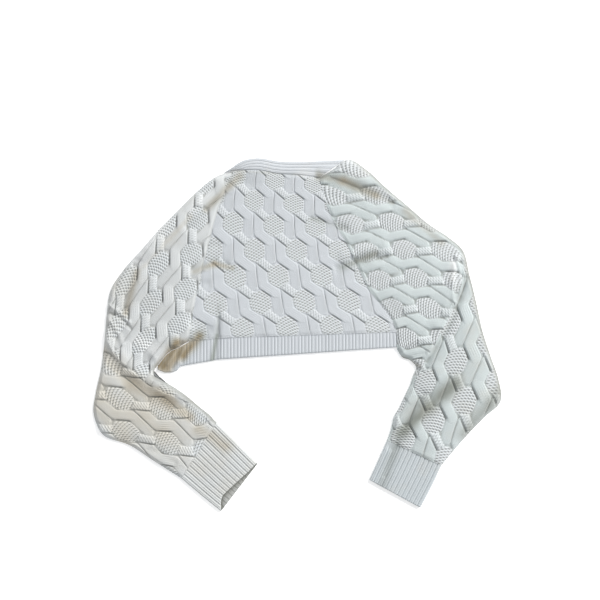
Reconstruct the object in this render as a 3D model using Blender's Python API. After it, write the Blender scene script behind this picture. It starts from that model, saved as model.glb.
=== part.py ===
"""Knitted shrug, laid flat with its back upwards.

A cropped raglan shrug in a thick cotton knit.  The back lies over the two open fronts, and each
sleeve is a flattened tube that is folded at the elbow.  Every piece that is knitted and sewn on is
its own closed solid: a cloth wall with a plain inside, whose cables, moss hexagons and ribs are
raised in the outer points alone.

The tables are in millimetres: +X to the right of the laid garment, +Y towards the neck, +Z up.
"""
import math
from typing import NamedTuple

import bmesh
import bpy
import mathutils
import numpy as np

MM = 0.001

# ---- cloth ---------------------------------------------------------------------------------
WALL = 2.6            # thickness of the plain cloth
LAYER_GAP = 0.8       # air between the lower and the upper layer
UPPER_FLOOR = WALL + LAYER_GAP          # height of the upper layer's inner face
UPPER_TOP = UPPER_FLOOR + 2.4           # height of the upper layer's outer face, without its pattern
THINNEST_TOP = UPPER_FLOOR + 1.7        # the lowest that a groove may reach
SEAM = 0.3            # gap between two pieces along a seam
CROWN = 2.2           # how much higher a sleeve stands away from its edges
CROWN_REACH = 40.0    # how far from an edge it stands so
EDGE_HEIGHT = 3.2     # height of the outermost line of a tube's rounded edge
EDGE_RADIUS = 9.0     # how far in from that line the rounding runs
FOOT_INSET = 2.5      # how far in from that line the tube meets the surface
PATTERN_FADE = 9.0    # the pattern sinks into a rounded edge over this distance
SEAM_DIP = 0.6        # how much the cloth sinks beside a seam
SEAM_REACH = 6.0      # and how far from the seam it does so
EDGE_LINES = (2.0, 8.0)        # lines along a rounded edge, this far in from it
EDGE_LINE_SHARE = 0.9          # share of that which they keep where an edge bends
MARK_GAP = 4.0        # how close the pattern's bends come to an edge
MERGE = 1e-4          # points closer than this are one
RIB_RISE = 1.6        # how high the ribs of the cuffs and the neck band are raised
HEM_RIB_RISE = 1.1    # and those of the hem band
HEM_RIB_EDGES = (0.7, 1.0, 0.4)         # share of it at the seam, in the middle and at the edge
HEM_RIBS_FROM = -222.0         # where the hem band's ribs start; left of it the band turns under
HEM_CREASE = 1.2      # how far a crease may sink into the hem band
BACK_GAP = 0.45       # how far the back is drawn in from the seams' lines
BAND_GAP = 0.6        # and the neck band
BAND_SWELL = 1.2      # how much the middle of the neck band stands up
RAGLAN_REACH = 0.3    # share of a sleeve over which the raglan's bends even out

# ---- sizes of the meshes -------------------------------------------------------------------
SLEEVE_ROWS = 48
SLEEVE_COLUMNS = 20
EDGE_COLUMNS = (0.012, 0.035)  # extra columns this share of the width in from a tube's edges
INSIDE_STEP = 4       # the plain inside has one row for this many outer ones
BACK_COLUMNS = 20
CUFF_ROWS = 4
CUFF_RIBS = 13
CUFF_STEPS = 4        # columns in each rib of a cuff
HEM_RIBS = 64
HEM_END_STEPS = 6     # columns in the plain stretches of the hem band
BAND_RIBS = 4
BAND_COLUMNS = 24


class Section(NamedTuple):
    """One line across a sleeve: where it meets the outer and the inner edge."""

    outer_x: float
    outer_y: float
    inner_x: float
    inner_y: float


class Fold(NamedTuple):
    """A soft ridge or trough from start to end; bow is its sideways bulge, rise its height."""

    start_x: float
    start_y: float
    end_x: float
    end_y: float
    bow: float
    width: float
    rise: float


class Lattice(NamedTuple):
    """Where the knit pattern lies: one furrow's middle, one repeat along and one across."""

    furrow_x: float
    furrow_y: float
    along_x: float
    along_y: float
    across_x: float
    across_y: float


class Course(NamedTuple):
    """One line of hexagons across the back: its height, its middle and its repeat."""

    y: float
    centre_x: float
    repeat: float


class HemStation(NamedTuple):
    """One place along the hem band."""

    x: float
    upper_y: float
    lower_y: float
    top: float


# ---- seams and outlines --------------------------------------------------------------------
RAGLAN_LEFT = ((-119, 308), (-147, 239), (-168, 163), (-187, 84), (-204, -13))
RAGLAN_RIGHT = ((43, 296), (64, 226), (96, 169), (136, 87), (189, 4), (191, -30))
UNDERARM_KNOT = 4              # where either raglan meets the hem band
BACK_NECK = ((-119, 308), (-75, 311), (-39, 304), (7, 301), (43, 296))
BACK_HEM = ((-204, -13), (-145, -8), (-12, -3), (189, 4))
BAND_SEAM = ((-115, 310), (-75, 311), (-39, 304), (7, 301), (43, 296))
BAND_EDGE = (
    (-138, 306), (-124, 315), (-102, 329), (-77, 334),
    (-31, 328), (7, 327), (52, 329), (92, 331),
)

SLEEVE_LEFT = (
    Section(-119, 308, -204, -13),
    Section(-147, 301, -214, -19),
    Section(-189, 270, -223, -25),
    Section(-225, 234, -237, -31),
    Section(-259, 200, -248, -40),
    Section(-294, 160, -259, -53),
    Section(-326, 124, -269, -68),
    Section(-352, 84, -269, -78),
    Section(-360, 36, -257, -86),
    Section(-364, -11, -242, -95),
    Section(-370, -63, -221, -108),
    Section(-381, -114, -200, -124),
    Section(-385, -148, -185, -137),
    Section(-368, -190, -172, -147),
    Section(-316, -211, -162, -156),
    Section(-273, -239, -157, -162),
    Section(-218, -274, -151, -167),
)
SLEEVE_RIGHT = (
    Section(43, 296, 191, -30),
    Section(69, 312, 197, -40),
    Section(98, 331, 202, -45),
    Section(132, 312, 208, -47),
    Section(168, 279, 214, -49),
    Section(208, 245, 218, -52),
    Section(250, 209, 221, -55),
    Section(290, 182, 225, -59),
    Section(313, 162, 227, -66),
    Section(328, 112, 221, -80),
    Section(341, 59, 216, -95),
    Section(352, 8, 210, -108),
    Section(368, -42, 202, -124),
    Section(383, -86, 195, -139),
    Section(387, -127, 185, -156),
    Section(356, -158, 180, -177),
    Section(316, -200, 176, -190),
    Section(275, -249, 172, -201),
)
CUFF_LEFT = (
    Section(-218, -274, -151, -167),
    Section(-178, -298, -111, -205),
    Section(-138, -304, -73, -241),
)
CUFF_LEFT_UNDER = (
    Section(-218, -274, -151, -167),
    Section(-180, -306, -111, -207),
    Section(-143, -336, -73, -245),
)
CUFF_RIGHT = (
    Section(275, -249, 172, -201),
    Section(256, -289, 155, -239),
    Section(235, -329, 138, -276),
)
# The hem band from left to right: its upper and lower edge, and the height of its outer face.
HEM = (
    HemStation(-262, -62, -68, 4.8),
    HemStation(-250, -45, -73, 5.0),
    HemStation(-237, -34, -73, 5.2),
    HemStation(-226, -29, -69, 5.4),
    HemStation(-220, -25, -61, 5.6),
    HemStation(-204, -15, -58, UPPER_TOP),
    HemStation(-145, -9, -48, UPPER_TOP),
    HemStation(-12, -4, -39, UPPER_TOP),
    HemStation(188, 1, -25, UPPER_TOP),
)
FRONT_OPENING = 30             # half the width of the gap between the fronts at the hem

# The fronts lie under the back: outer edge from the neck down, then the open front edge.
FRONT_LEFT = (
    (-112, 285), (-139, 238), (-154, 190), (-176, 128), (-181, 60), (-186, -3),
    (-120, -3), (-30, 0), (-32, 60), (-44, 140), (-70, 220), (-98, 285),
)
FRONT_RIGHT = (
    (38, 270), (64, 205), (100, 138), (146, 42), (179, 6),
    (100, 3), (30, 2), (28, 60), (20, 140), (18, 220), (26, 270),
)

# ---- the knit pattern ----------------------------------------------------------------------
# A lattice of moss hexagons and pairs of smooth strips, half dropped.  Each hexagon is tied to
# the next one down and to the right by a moss bar that passes in front of the left strip, and the
# right strip of each pair crosses in front to become the left strip of the next pair.
REPEAT_ACROSS = 82.0
REPEAT_ALONG = 93.0
HEXAGON_HALF_WIDTH = 21.0
HEXAGON_SLANT_REACH = 19.2     # from its middle to the two sides that the strips cross
HEXAGON_TIE_REACH = 20.5       # from its middle to the two sides that the bars leave
SLANT_NORMAL = (-0.59, 0.81)
TIE_NORMAL = (0.51, 0.86)
HEXAGON_RIM = 7.0              # how far in from its sides a hexagon is full
STRIP_HALF_WIDTH = 10.3
STRIP_STRAIGHT = 15.8          # half the length of a strip's straight run
STRIP_NEXT = (30.8, 30.8)      # where a crossing strip is straight again
BAR_FROM = (5.7, 12.5)
BAR_TO = (35.2, 34.0)
BAR_HALF_WIDTH = 9.9
HEXAGON_HEIGHT = 2.7
STRIP_HEIGHT = 2.8
CROSSING_RISE = 1.2            # how much a front strip or bar rises, and a back strip sinks
PATTERN_SPAN = 7               # repeats each way from a furrow that cover any piece

# The lines that the raised pattern bends along, from the middle of the furrow between two strips.
FURROW = ((0, -14), (0, 0), (0, 14))
RIGHT_STRIP = (((3.5, -13), (3.5, 12)), ((17, -11), (17, 7)))
LEFT_STRIP = (((-3.5, -13), (-3.5, 12)), ((-17, -11), (-17, 7)))
CROSSING_OVER = (((11, 23), (22, 31)), ((22, 14), (32, 22)))
CROSSING_EDGES = (
    ((20.3, -5), (19.7, 7.6), (28.5, 14.7), (37.2, 21.9)),
    ((1.7, 24.6), (10.9, 30.6), (20.0, 36.6)),
)
BAR_OVER = (((-33, 21), (-18, 32)), ((-24, 14), (-9, 25)))
BAR_EDGES = (
    ((-38.3, 21.9), (-26.8, 30.9), (-15.3, 39.9)),
    ((-20.7, -10), (-20.3, 11.5), (-11.2, 18.0), (-2.2, 23.9)),
)
HEXAGON_TOP = ((0, 31), (13, 40), (14, 51), (0, 62), (-13, 53), (-14, 42), (0, 31))
HEXAGON_MIDDLE = ((0, 46.5),)
PATTERN_LINES = (
    FURROW, *RIGHT_STRIP, *LEFT_STRIP, *CROSSING_OVER, *CROSSING_EDGES,
    *BAR_OVER, *BAR_EDGES, HEXAGON_TOP, HEXAGON_MIDDLE,
)

BACK_COURSES = (
    Course(290, -40, 76),
    Course(251, -43, 76),
    Course(205, -43, 79),
    Course(160, -40, 79),
    Course(110, -35, 80),
    Course(62, -27, 80),
    Course(15, -17, 86),
)
UPPER_SLEEVE_LEFT = Lattice(-235, 107, -75, -86, 43, -51)
LOWER_SLEEVE_LEFT = Lattice(-288, -163, 94, -78, 54, 42)
UPPER_SLEEVE_RIGHT = Lattice(181, 133, 95, -49, 44, 58)
LOWER_SLEEVE_RIGHT = Lattice(277, -111, -44, -110, 74, -34)
ELBOW_LEFT = ((-373, 2), (-358, -15), (-320, -53), (-273, -84), (-240, -97), (-199, -125))
ELBOW_RIGHT = ((229, -76), (244, -49), (265, -11), (290, 36), (311, 93), (322, 156))

# ---- folds ---------------------------------------------------------------------------------
FOLDS = (
    Fold(-130, 285, -206, 205, 0, 11, -3.0),     # hollow beside the left raglan, at the neck
    Fold(-153, 291, -278, 160, 0, 17, 2.5),      # roll along the left shoulder
    Fold(-297, 137, -328, 34, -6, 10, -3.0),     # crease inside the left elbow's outer edge
    Fold(-195, 124, -134, 131, 4, 10, -2.5),     # pucker across the left raglan
    Fold(-358, 0, -202, -110, -11, 13, 3.5),     # the upper sleeve rolls over the lower one
    Fold(-360, -34, -214, -133, -11, 17, -3.0),  # and the lower sleeve sinks beside it
    Fold(-199, 11, -275, -53, 0, 15, 3.0),       # roll at the left underarm
    Fold(-147, 30, -153, -53, 0, 6, -2.5),       # crease across the hem band
    Fold(-164, 8, -225, -34, 0, 15, -2.5),       # the back's corner sinks at the left underarm
    Fold(-111, 291, -75, 281, 0, 11, -1.5),      # dent under the neck band
    Fold(41, 300, 181, 249, 6, 10, -3.0),        # crease from the neck along the right shoulder
    Fold(92, 317, 206, 238, 0, 15, 2.0),         # roll above it
    Fold(75, 125, 168, 148, 4, 10, -2.5),        # drag crease across the right raglan
    Fold(98, 158, 168, 167, 0, 15, 1.5),         # roll above it
    Fold(320, 106, 235, -68, 8, 10, -2.5),       # crease at the right elbow
    Fold(305, 156, 265, 17, 6, 11, 2.0),         # roll beside it
    Fold(240, -114, 166, -270, -2, 9, -3.0),     # long crease down the right forearm
    Fold(193, -34, 238, -21, 0, 6, -1.5),        # gathers at the right underarm
    Fold(202, -46, 242, -36, 0, 5, -1.5),
)

# ---- colours -------------------------------------------------------------------------------
KNIT_COLOURS = {
    "back_panel": (0.74, 0.76, 0.77, 1.0),
    "front_left": (0.70, 0.71, 0.70, 1.0),
    "front_right": (0.70, 0.71, 0.70, 1.0),
    "sleeve_left": (0.76, 0.77, 0.75, 1.0),
    "sleeve_right": (0.73, 0.77, 0.76, 1.0),
    "cuff_left": (0.78, 0.79, 0.77, 1.0),
    "cuff_right": (0.75, 0.78, 0.78, 1.0),
    "hem_band": (0.75, 0.76, 0.78, 1.0),
    "neck_band": (0.77, 0.78, 0.79, 1.0),
}
KNIT_ROUGHNESS = 0.9


# ---- lines and grids -----------------------------------------------------------------------
def smooth(value):
    """Run from 0 to 1 without a corner, as value does."""
    value = np.clip(value, 0.0, 1.0)
    return value * value * (3.0 - 2.0 * value)


class Curve:
    """A smooth line through its knots, from 0 at the first to 1 at the last."""

    def __init__(self, knots):
        self.points = np.asarray(knots, dtype=float)
        steps = np.linalg.norm(np.diff(self.points, axis=0), axis=1)
        self.length = steps.sum()
        self.knots = np.concatenate(([0.0], np.cumsum(steps))) / self.length
        spans = np.diff(self.knots)[:, None]
        slopes = np.diff(self.points, axis=0) / spans
        inner = (slopes[:-1] * spans[1:] + slopes[1:] * spans[:-1]) / (spans[1:] + spans[:-1])
        self.slopes = np.vstack((slopes[:1], inner, slopes[-1:]))

    def at(self, place):
        """Give the points at these places along the line."""
        place = np.clip(np.asarray(place, dtype=float), 0.0, 1.0)
        index = np.clip(np.searchsorted(self.knots, place, side="right") - 1, 0, len(self.knots) - 2)
        span = (self.knots[index + 1] - self.knots[index])[..., None]
        part = (place - self.knots[index])[..., None] / span
        start = self.points[index]
        end = self.points[index + 1]
        leave = self.slopes[index] * span
        arrive = self.slopes[index + 1] * span
        return (
            start * (2 * part**3 - 3 * part**2 + 1)
            + leave * (part**3 - 2 * part**2 + part)
            + end * (3 * part**2 - 2 * part**3)
            + arrive * (part**3 - part**2)
        )


def edge_columns(count):
    """Spread the columns across a tube, closer together at its two rounded edges."""
    first, second = EDGE_COLUMNS
    middle = np.linspace(second, 1.0 - second, count - 3)
    return np.concatenate(([0.0, first], middle, [1.0 - first, 1.0]))


class Seam:
    """A raglan seam: straight between a sleeve's columns, one of which is at the underarm."""

    def __init__(self, knots):
        curve = Curve(knots)
        self.underarm = curve.knots[UNDERARM_KNOT]
        self.columns = edge_columns(SLEEVE_COLUMNS)
        if self.underarm < 1.0:
            self.columns[np.argmin(np.abs(self.columns - self.underarm))] = self.underarm
        self.points = curve.at(self.columns)

    def at(self, place):
        """Give the points at these places along the seam."""
        x = np.interp(place, self.columns, self.points[:, 0])
        y = np.interp(place, self.columns, self.points[:, 1])
        return np.stack((x, y), axis=-1)


def sleeve_plan(sections, places, across, seam=None):
    """Lay the lines of a sleeve side by side; the first one bends along its raglan seam."""
    lines = Curve(sections).at(places)
    across = np.asarray(across)
    if across.ndim == 1:
        across = np.broadcast_to(across, (len(places), len(across)))
    share = across[:, :, None]
    plan = lines[:, None, :2] * (1 - share) + lines[:, None, 2:] * share
    if seam is not None:
        first = np.asarray(sections[0])
        straight = first[:2] * (1 - share) + first[2:] * share
        fade = (1.0 - smooth(places / RAGLAN_REACH))[:, None, None]
        plan = plan + (seam.at(across) - straight) * fade
    return plan


# ---- heights -------------------------------------------------------------------------------
def fold_height(x, y):
    """Add up the folds at these points."""
    total = np.zeros_like(x)
    for fold in FOLDS:
        run_x = fold.end_x - fold.start_x
        run_y = fold.end_y - fold.start_y
        length = math.hypot(run_x, run_y)
        along = ((x - fold.start_x) * run_x + (y - fold.start_y) * run_y) / length
        aside = ((y - fold.start_y) * run_x - (x - fold.start_x) * run_y) / length
        share = np.clip(along / length, 0.0, 1.0)
        aside = aside - 4.0 * fold.bow * share * (1.0 - share)
        beyond = np.maximum(np.maximum(-along, along - length), 0.0)
        distance = (aside**2 + (1.5 * beyond) ** 2) / fold.width**2
        total += fold.rise * np.exp(-distance)
    return total


def to_line(x, y, start, end):
    """Measure the distance to a straight line, and how far along it the nearest point is."""
    run_x = end[0] - start[0]
    run_y = end[1] - start[1]
    along = ((x - start[0]) * run_x + (y - start[1]) * run_y) / (run_x**2 + run_y**2)
    along = np.clip(along, 0.0, 1.0)
    return np.hypot(x - start[0] - along * run_x, y - start[1] - along * run_y), along


def to_polyline(x, y, points):
    """Measure the distance to the nearest of a line's straight pieces."""
    nearest = np.full(np.shape(x), np.inf)
    for start, end in zip(points[:-1], points[1:]):
        nearest = np.minimum(nearest, to_line(x, y, start, end)[0])
    return nearest


def is_inside(x, y, outline):
    """Tell which points lie inside a closed outline."""
    inside = np.zeros(np.shape(x), dtype=bool)
    for (x0, y0), (x1, y1) in zip(outline, np.roll(outline, -1, axis=0)):
        crosses = (y0 > y) != (y1 > y)
        reach = x0 + (y - y0) * (x1 - x0) / (y1 - y0 if y1 != y0 else 1.0)
        inside ^= crosses & (x < reach)
    return inside


def lobe(distance, half_width, height):
    """Give a strand's rounded section."""
    return height * np.maximum(1.0 - (distance / half_width) ** 4, 0.0)


def pattern_height(across, along):
    """Give the height of the knit pattern, in repeats from a furrow's middle."""
    height = np.zeros_like(across)
    for drop in (0.0, 0.5):
        x = across + 0.5 - drop
        y = along - drop
        x = (x - np.round(x)) * REPEAT_ACROSS
        y = (y - np.round(y)) * REPEAT_ALONG
        slant = SLANT_NORMAL[0] * x + SLANT_NORMAL[1] * y
        tie = TIE_NORMAL[0] * x + TIE_NORMAL[1] * y
        inside = np.minimum(
            HEXAGON_HALF_WIDTH - np.abs(x),
            np.minimum(HEXAGON_SLANT_REACH - np.abs(slant), HEXAGON_TIE_REACH - np.abs(tie)),
        )
        dome = 1.0 - (1.0 - np.clip(inside / HEXAGON_RIM, 0.0, 1.0)) ** 2
        height = np.maximum(height, HEXAGON_HEIGHT * dome)
        distance, place = to_line(x, y, BAR_FROM, BAR_TO)
        rise = HEXAGON_HEIGHT + CROSSING_RISE * np.sin(math.pi * place)
        height = np.maximum(height, lobe(distance, BAR_HALF_WIDTH, rise))
        x = across - drop
        x = (x - np.round(x)) * REPEAT_ACROSS
        middle = STRIP_HALF_WIDTH
        for side, change in ((1.0, CROSSING_RISE), (-1.0, -CROSSING_RISE)):
            top = (side * middle, -STRIP_STRAIGHT)
            turn = (side * middle, STRIP_STRAIGHT)
            following = (side * STRIP_NEXT[0], STRIP_NEXT[1])
            distance, place = to_line(x, y, top, turn)
            height = np.maximum(height, lobe(distance, STRIP_HALF_WIDTH, STRIP_HEIGHT))
            distance, place = to_line(x, y, turn, following)
            rise = STRIP_HEIGHT + change * np.sin(math.pi * place)
            height = np.maximum(height, lobe(distance, STRIP_HALF_WIDTH, rise))
    return height


class BackStitches:
    """The pattern's place on the back, whose courses spread a little towards the hem."""

    def __init__(self, courses):
        self.y, self.centre, self.repeat = np.asarray(courses)[::-1].T
        self.drop = np.arange(len(courses))[::-1] / 2.0

    def to_repeats(self, x, y):
        """Turn places on the cloth into repeats across and along."""
        along = np.interp(y, self.y, self.drop)
        along = along + np.maximum(0.0, self.y[0] - y) / REPEAT_ALONG
        along = along - np.maximum(0.0, y - self.y[-1]) / REPEAT_ALONG
        centre = np.interp(y, self.y, self.centre)
        repeat = np.interp(y, self.y, self.repeat)
        return (x - centre) / repeat + 0.5, along

    def to_cloth(self, across, along):
        """Turn repeats across and along into places on the cloth."""
        y = np.interp(along, self.drop[::-1], self.y[::-1])
        y = y - np.maximum(0.0, along - self.drop[0]) * REPEAT_ALONG
        y = y + np.maximum(0.0, -along) * REPEAT_ALONG
        centre = np.interp(y, self.y, self.centre)
        repeat = np.interp(y, self.y, self.repeat)
        return centre + (across - 0.5) * repeat, y


class SleeveStitches:
    """The pattern's place on a sleeve, which changes direction at the elbow."""

    def __init__(self, upper, lower, elbow):
        self.lattices = (upper, lower)
        self.elbow = elbow

    def beyond_elbow(self, x, y):
        """Tell which points lie on the cuff's side of the elbow's fold, to the right of its line."""
        nearest = np.full(x.shape, np.inf)
        side = np.zeros(x.shape)
        for start, end in zip(self.elbow[:-1], self.elbow[1:]):
            distance, _ = to_line(x, y, start, end)
            turn = (end[0] - start[0]) * (y - start[1]) - (end[1] - start[1]) * (x - start[0])
            closer = distance < nearest
            nearest = np.where(closer, distance, nearest)
            side = np.where(closer, turn, side)
        return side < 0.0

    def stretch_repeats(self, x, y, lattice):
        """Turn places on the cloth into repeats, on one stretch of the sleeve."""
        away_x = x - lattice.furrow_x
        away_y = y - lattice.furrow_y
        area = lattice.across_x * lattice.along_y - lattice.across_y * lattice.along_x
        across = (away_x * lattice.along_y - away_y * lattice.along_x) / area
        along = (away_y * lattice.across_x - away_x * lattice.across_y) / area
        return across, along

    def mark(self, marks, accept):
        """Mark the pattern's lines, each stretch's on its own side of the elbow."""
        for lattice, lower in zip(self.lattices, (False, True)):
            def to_cloth(across, along, lattice=lattice):
                x = lattice.furrow_x + across * lattice.across_x + along * lattice.along_x
                y = lattice.furrow_y + across * lattice.across_y + along * lattice.along_y
                return x, y

            def accept_here(x, y, lower=lower):
                return accept(x, y) & (self.beyond_elbow(x, y) == lower)

            marks.lay_pattern(to_cloth, accept_here)

    def to_repeats(self, x, y):
        """Turn places on the cloth into repeats across and along."""
        upper = self.stretch_repeats(x, y, self.lattices[0])
        lower = self.stretch_repeats(x, y, self.lattices[1])
        beyond = self.beyond_elbow(x, y)
        return np.where(beyond, lower[0], upper[0]), np.where(beyond, lower[1], upper[1])


class Marks:
    """The lines that a cover of cloth bends along."""

    def __init__(self):
        self.points = []
        self.edges = []

    def lay(self, x, y, kept):
        """Lay lines, one a row, and join those of their kept points that follow each other."""
        numbers = np.full(x.shape, -1)
        numbers[kept] = len(self.points) + np.arange(kept.sum())
        self.points.extend(zip(x[kept], y[kept]))
        pairs = np.stack((numbers[:, :-1], numbers[:, 1:]), axis=-1).reshape(-1, 2)
        self.edges.extend(pairs[(pairs >= 0).all(axis=1)].tolist())

    def lay_pattern(self, to_cloth, accept):
        """Lay the pattern's lines on a stretch of cloth, where it accepts them."""
        repeats = np.arange(-PATTERN_SPAN, PATTERN_SPAN + 1)
        grids = np.meshgrid(repeats, repeats, (0.0, 0.5))
        across, along, drop = (grid.ravel()[:, None] for grid in grids)
        for line in PATTERN_LINES:
            line = np.asarray(line, dtype=float)
            x, y = to_cloth(
                across + drop + line[:, 0] / REPEAT_ACROSS,
                along + drop + line[:, 1] / REPEAT_ALONG,
            )
            self.lay(x, y, accept(x, y))


def seam_sink(to_seam, height):
    """Let a pattern of this height sink, and the cloth dip, beside a seam."""
    share = smooth(to_seam / SEAM_REACH)
    return height * share - SEAM_DIP * (1.0 - share)


def rib_height(share, ribs, height):
    """Give the height of ribs spread evenly over a share from 0 to 1."""
    return height * (0.5 - 0.5 * np.cos(2.0 * math.pi * ribs * share))


def rounded(distance, radius):
    """Rise from 0 at a rounded edge to 1 at this radius from it."""
    return np.sqrt(1.0 - (1.0 - np.clip(distance / radius, 0.0, 1.0)) ** 2)


# ---- solids --------------------------------------------------------------------------------
def around(numbers):
    """Walk once round the edge of a grid."""
    return [*numbers[0], *numbers[1:, -1], *numbers[-1, -2::-1], *numbers[-2:0:-1, 0]]


class Solid:
    """A closed mesh that is being put together, in millimetres."""

    def __init__(self):
        self.points = []
        self.faces = []

    def add(self, x, y, z):
        """Add points; give their numbers in the shape of x."""
        x, y, z = np.broadcast_arrays(np.asarray(x, float), y, z)
        first = len(self.points)
        self.points.extend(np.stack((x.ravel(), y.ravel(), z.ravel()), axis=1).tolist())
        return np.arange(first, first + x.size).reshape(x.shape)

    def grid(self, numbers):
        """Cover a grid of points with faces of four corners."""
        corners = (numbers[:-1, :-1], numbers[:-1, 1:], numbers[1:, 1:], numbers[1:, :-1])
        self.faces.extend(np.stack([corner.ravel() for corner in corners], axis=1).tolist())

    def strip(self, one, other):
        """Join two lines of equally many points."""
        self.grid(np.stack((one, other)))

    def stitch(self, one, other):
        """Join two lines of unlike counts with triangles."""
        i = 0
        j = 0
        while i < len(one) - 1 or j < len(other) - 1:
            step_one = (i + 1) / max(len(one) - 1, 1)
            step_other = (j + 1) / max(len(other) - 1, 1)
            if j == len(other) - 1 or (i < len(one) - 1 and step_one <= step_other):
                self.faces.append([one[i], one[i + 1], other[j]])
                i += 1
            else:
                self.faces.append([one[i], other[j + 1], other[j]])
                j += 1

    def cap(self, loop):
        """Close a flat loop."""
        self.faces.append([int(number) for number in loop])

    def cover(self, border, marks, height):
        """Cover the inside of a border with triangles that bend along these marks."""
        count = len(border)
        spots = [self.points[number][:2] for number in border] + marks.points
        edges = [(number, (number + 1) % count) for number in range(count)]
        edges.extend((one + count, other + count) for one, other in marks.edges)
        found, _, faces, origins, _, _ = mathutils.geometry.delaunay_2d_cdt(
            [mathutils.Vector(spot) for spot in spots], edges, [list(range(count))], 1, MERGE
        )
        x, y = np.asarray(found).T
        added = self.add(x, y, height(x, y))
        for number, origin in enumerate(origins):
            on_border = [one for one in origin if one < count]
            if on_border:
                added[number] = border[on_border[0]]
        self.faces.extend([[int(added[number]) for number in face] for face in faces])


def beside(line, gap, other):
    """Lay a line this far beside another, towards a third one."""
    run = np.gradient(line, axis=0)
    aside = np.stack((-run[:, 1], run[:, 0]), axis=1) / np.linalg.norm(run, axis=1, keepdims=True)
    return line + gap * aside * np.sign(((other - line) * aside).sum())


def edge_gaps(plan):
    """Measure how far each point lies from the two side edges of its row."""
    steps = np.linalg.norm(np.diff(plan, axis=1), axis=2)
    run = np.concatenate((np.zeros((len(plan), 1)), np.cumsum(steps, axis=1)), axis=1)
    return run, run[:, -1:] - run


def ribbed_top(solid, plan, height):
    """Lay a tube's outer face as a grid of rows and columns."""
    left, right = edge_gaps(plan)
    z = height(plan[..., 0], plan[..., 1], np.minimum(left, right))
    top = solid.add(plan[..., 0], plan[..., 1], z)
    solid.grid(top)
    return top


def patterned_top(solid, plan, height, stitches):
    """Lay a sleeve's outer face along the lines of its pattern, inside a plan's four edges."""
    sides = (plan[:, 0], plan[:, -1])

    def to_sides(x, y):
        return np.minimum(to_polyline(x, y, sides[0]), to_polyline(x, y, sides[1]))

    def cloth_height(x, y):
        return height(x, y, to_sides(x, y))

    top = np.full(plan.shape[:2], -1)
    for column in (0, -1):
        side = plan[:, column]
        top[:, column] = solid.add(side[:, 0], side[:, 1], EDGE_HEIGHT)
    for row in (0, -1):
        end = plan[row, 1:-1]
        top[row, 1:-1] = solid.add(end[:, 0], end[:, 1], cloth_height(end[:, 0], end[:, 1]))
    border = [int(number) for number in around(top)]
    outline = np.asarray([solid.points[number][:2] for number in border])

    def is_clear(x, y, gap):
        to_ends = np.minimum(to_polyline(x, y, plan[0]), to_polyline(x, y, plan[-1]))
        return (to_sides(x, y) > gap) & (to_ends > MARK_GAP) & is_inside(x, y, outline)

    marks = Marks()
    for gap in EDGE_LINES:
        for side, other in (sides, sides[::-1]):
            x, y = beside(side, gap, other).T[:, None]
            marks.lay(x, y, is_clear(x, y, gap * EDGE_LINE_SHARE))
    stitches.mark(marks, lambda x, y: is_clear(x, y, EDGE_LINES[-1] + MARK_GAP))
    solid.cover(border, marks, cloth_height)
    return top


def no_shift(places):
    """Leave a tube's lower layer right under its upper one."""
    return np.zeros((len(places), 1, 2))


def tube(place_row, rows, across, make_top, end_step=1, under_shift=no_shift):
    """Build a flattened tube of cloth, open at both ends.

    place_row gives the plan of the tube at these places and columns, and make_top lays its outer
    face on a solid over that plan.  end_step thins the columns at the plain faces' ends, and
    under_shift moves the lower layer.
    """
    solid = Solid()
    places = np.linspace(0.0, 1.0, rows + 1)
    plan = place_row(places, across)
    width = edge_gaps(plan)[1][:, 0]
    length = np.linalg.norm(np.diff(plan.mean(axis=1), axis=0), axis=1).sum()
    chosen = across[2:-2:end_step]
    top = make_top(solid, plan)

    def plain_face(at, gap, shift, z):
        inset = (gap / np.interp(at, places, width))[:, None]
        sides = place_row(at, np.concatenate((inset, 1.0 - inset), axis=1)) + shift(at)
        ends = place_row(at[[0, -1]], chosen) + shift(at)[[0, -1]]
        side = solid.add(sides[..., 0], sides[..., 1], z)
        end = solid.add(ends[..., 0], ends[..., 1], z)
        solid.cap([*side[:, 0], *end[1], *side[::-1, 1], *end[0][::-1]])
        return side, [[side[row, 0], *end[row], side[row, 1]] for row in (0, -1)]

    foot, foot_ends = plain_face(places, FOOT_INSET, under_shift, 0.0)
    solid.strip(top[:, 0], foot[:, 0])
    solid.strip(top[:, -1], foot[:, 1])
    margin = 0.5 * SEAM / length
    inside = np.linspace(margin, 1.0 - margin, rows // INSIDE_STEP + 1)
    over, over_ends = plain_face(inside, WALL, no_shift, UPPER_FLOOR)
    under, under_ends = plain_face(inside, WALL, under_shift, WALL)
    solid.strip(over[:, 0], under[:, 0])
    solid.strip(over[:, 1], under[:, 1])
    for row in (0, -1):
        solid.stitch(list(top[row]), over_ends[row])
        solid.stitch(foot_ends[row], under_ends[row])
        solid.stitch([top[row, 0], foot[row, 0]], [over[row, 0], under[row, 0]])
        solid.stitch([top[row, -1], foot[row, 1]], [over[row, 1], under[row, 1]])
    return solid


def sheet(plan, top_height, foot_height):
    """Build a panel of cloth between two faces over one plan."""
    solid = Solid()
    top = solid.add(plan[..., 0], plan[..., 1], top_height)
    foot = solid.add(plan[..., 0], plan[..., 1], foot_height)
    solid.grid(top)
    solid.grid(foot)
    edge = around(top)
    foot_edge = around(foot)
    solid.strip([*edge, edge[0]], [*foot_edge, foot_edge[0]])
    return solid


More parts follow.
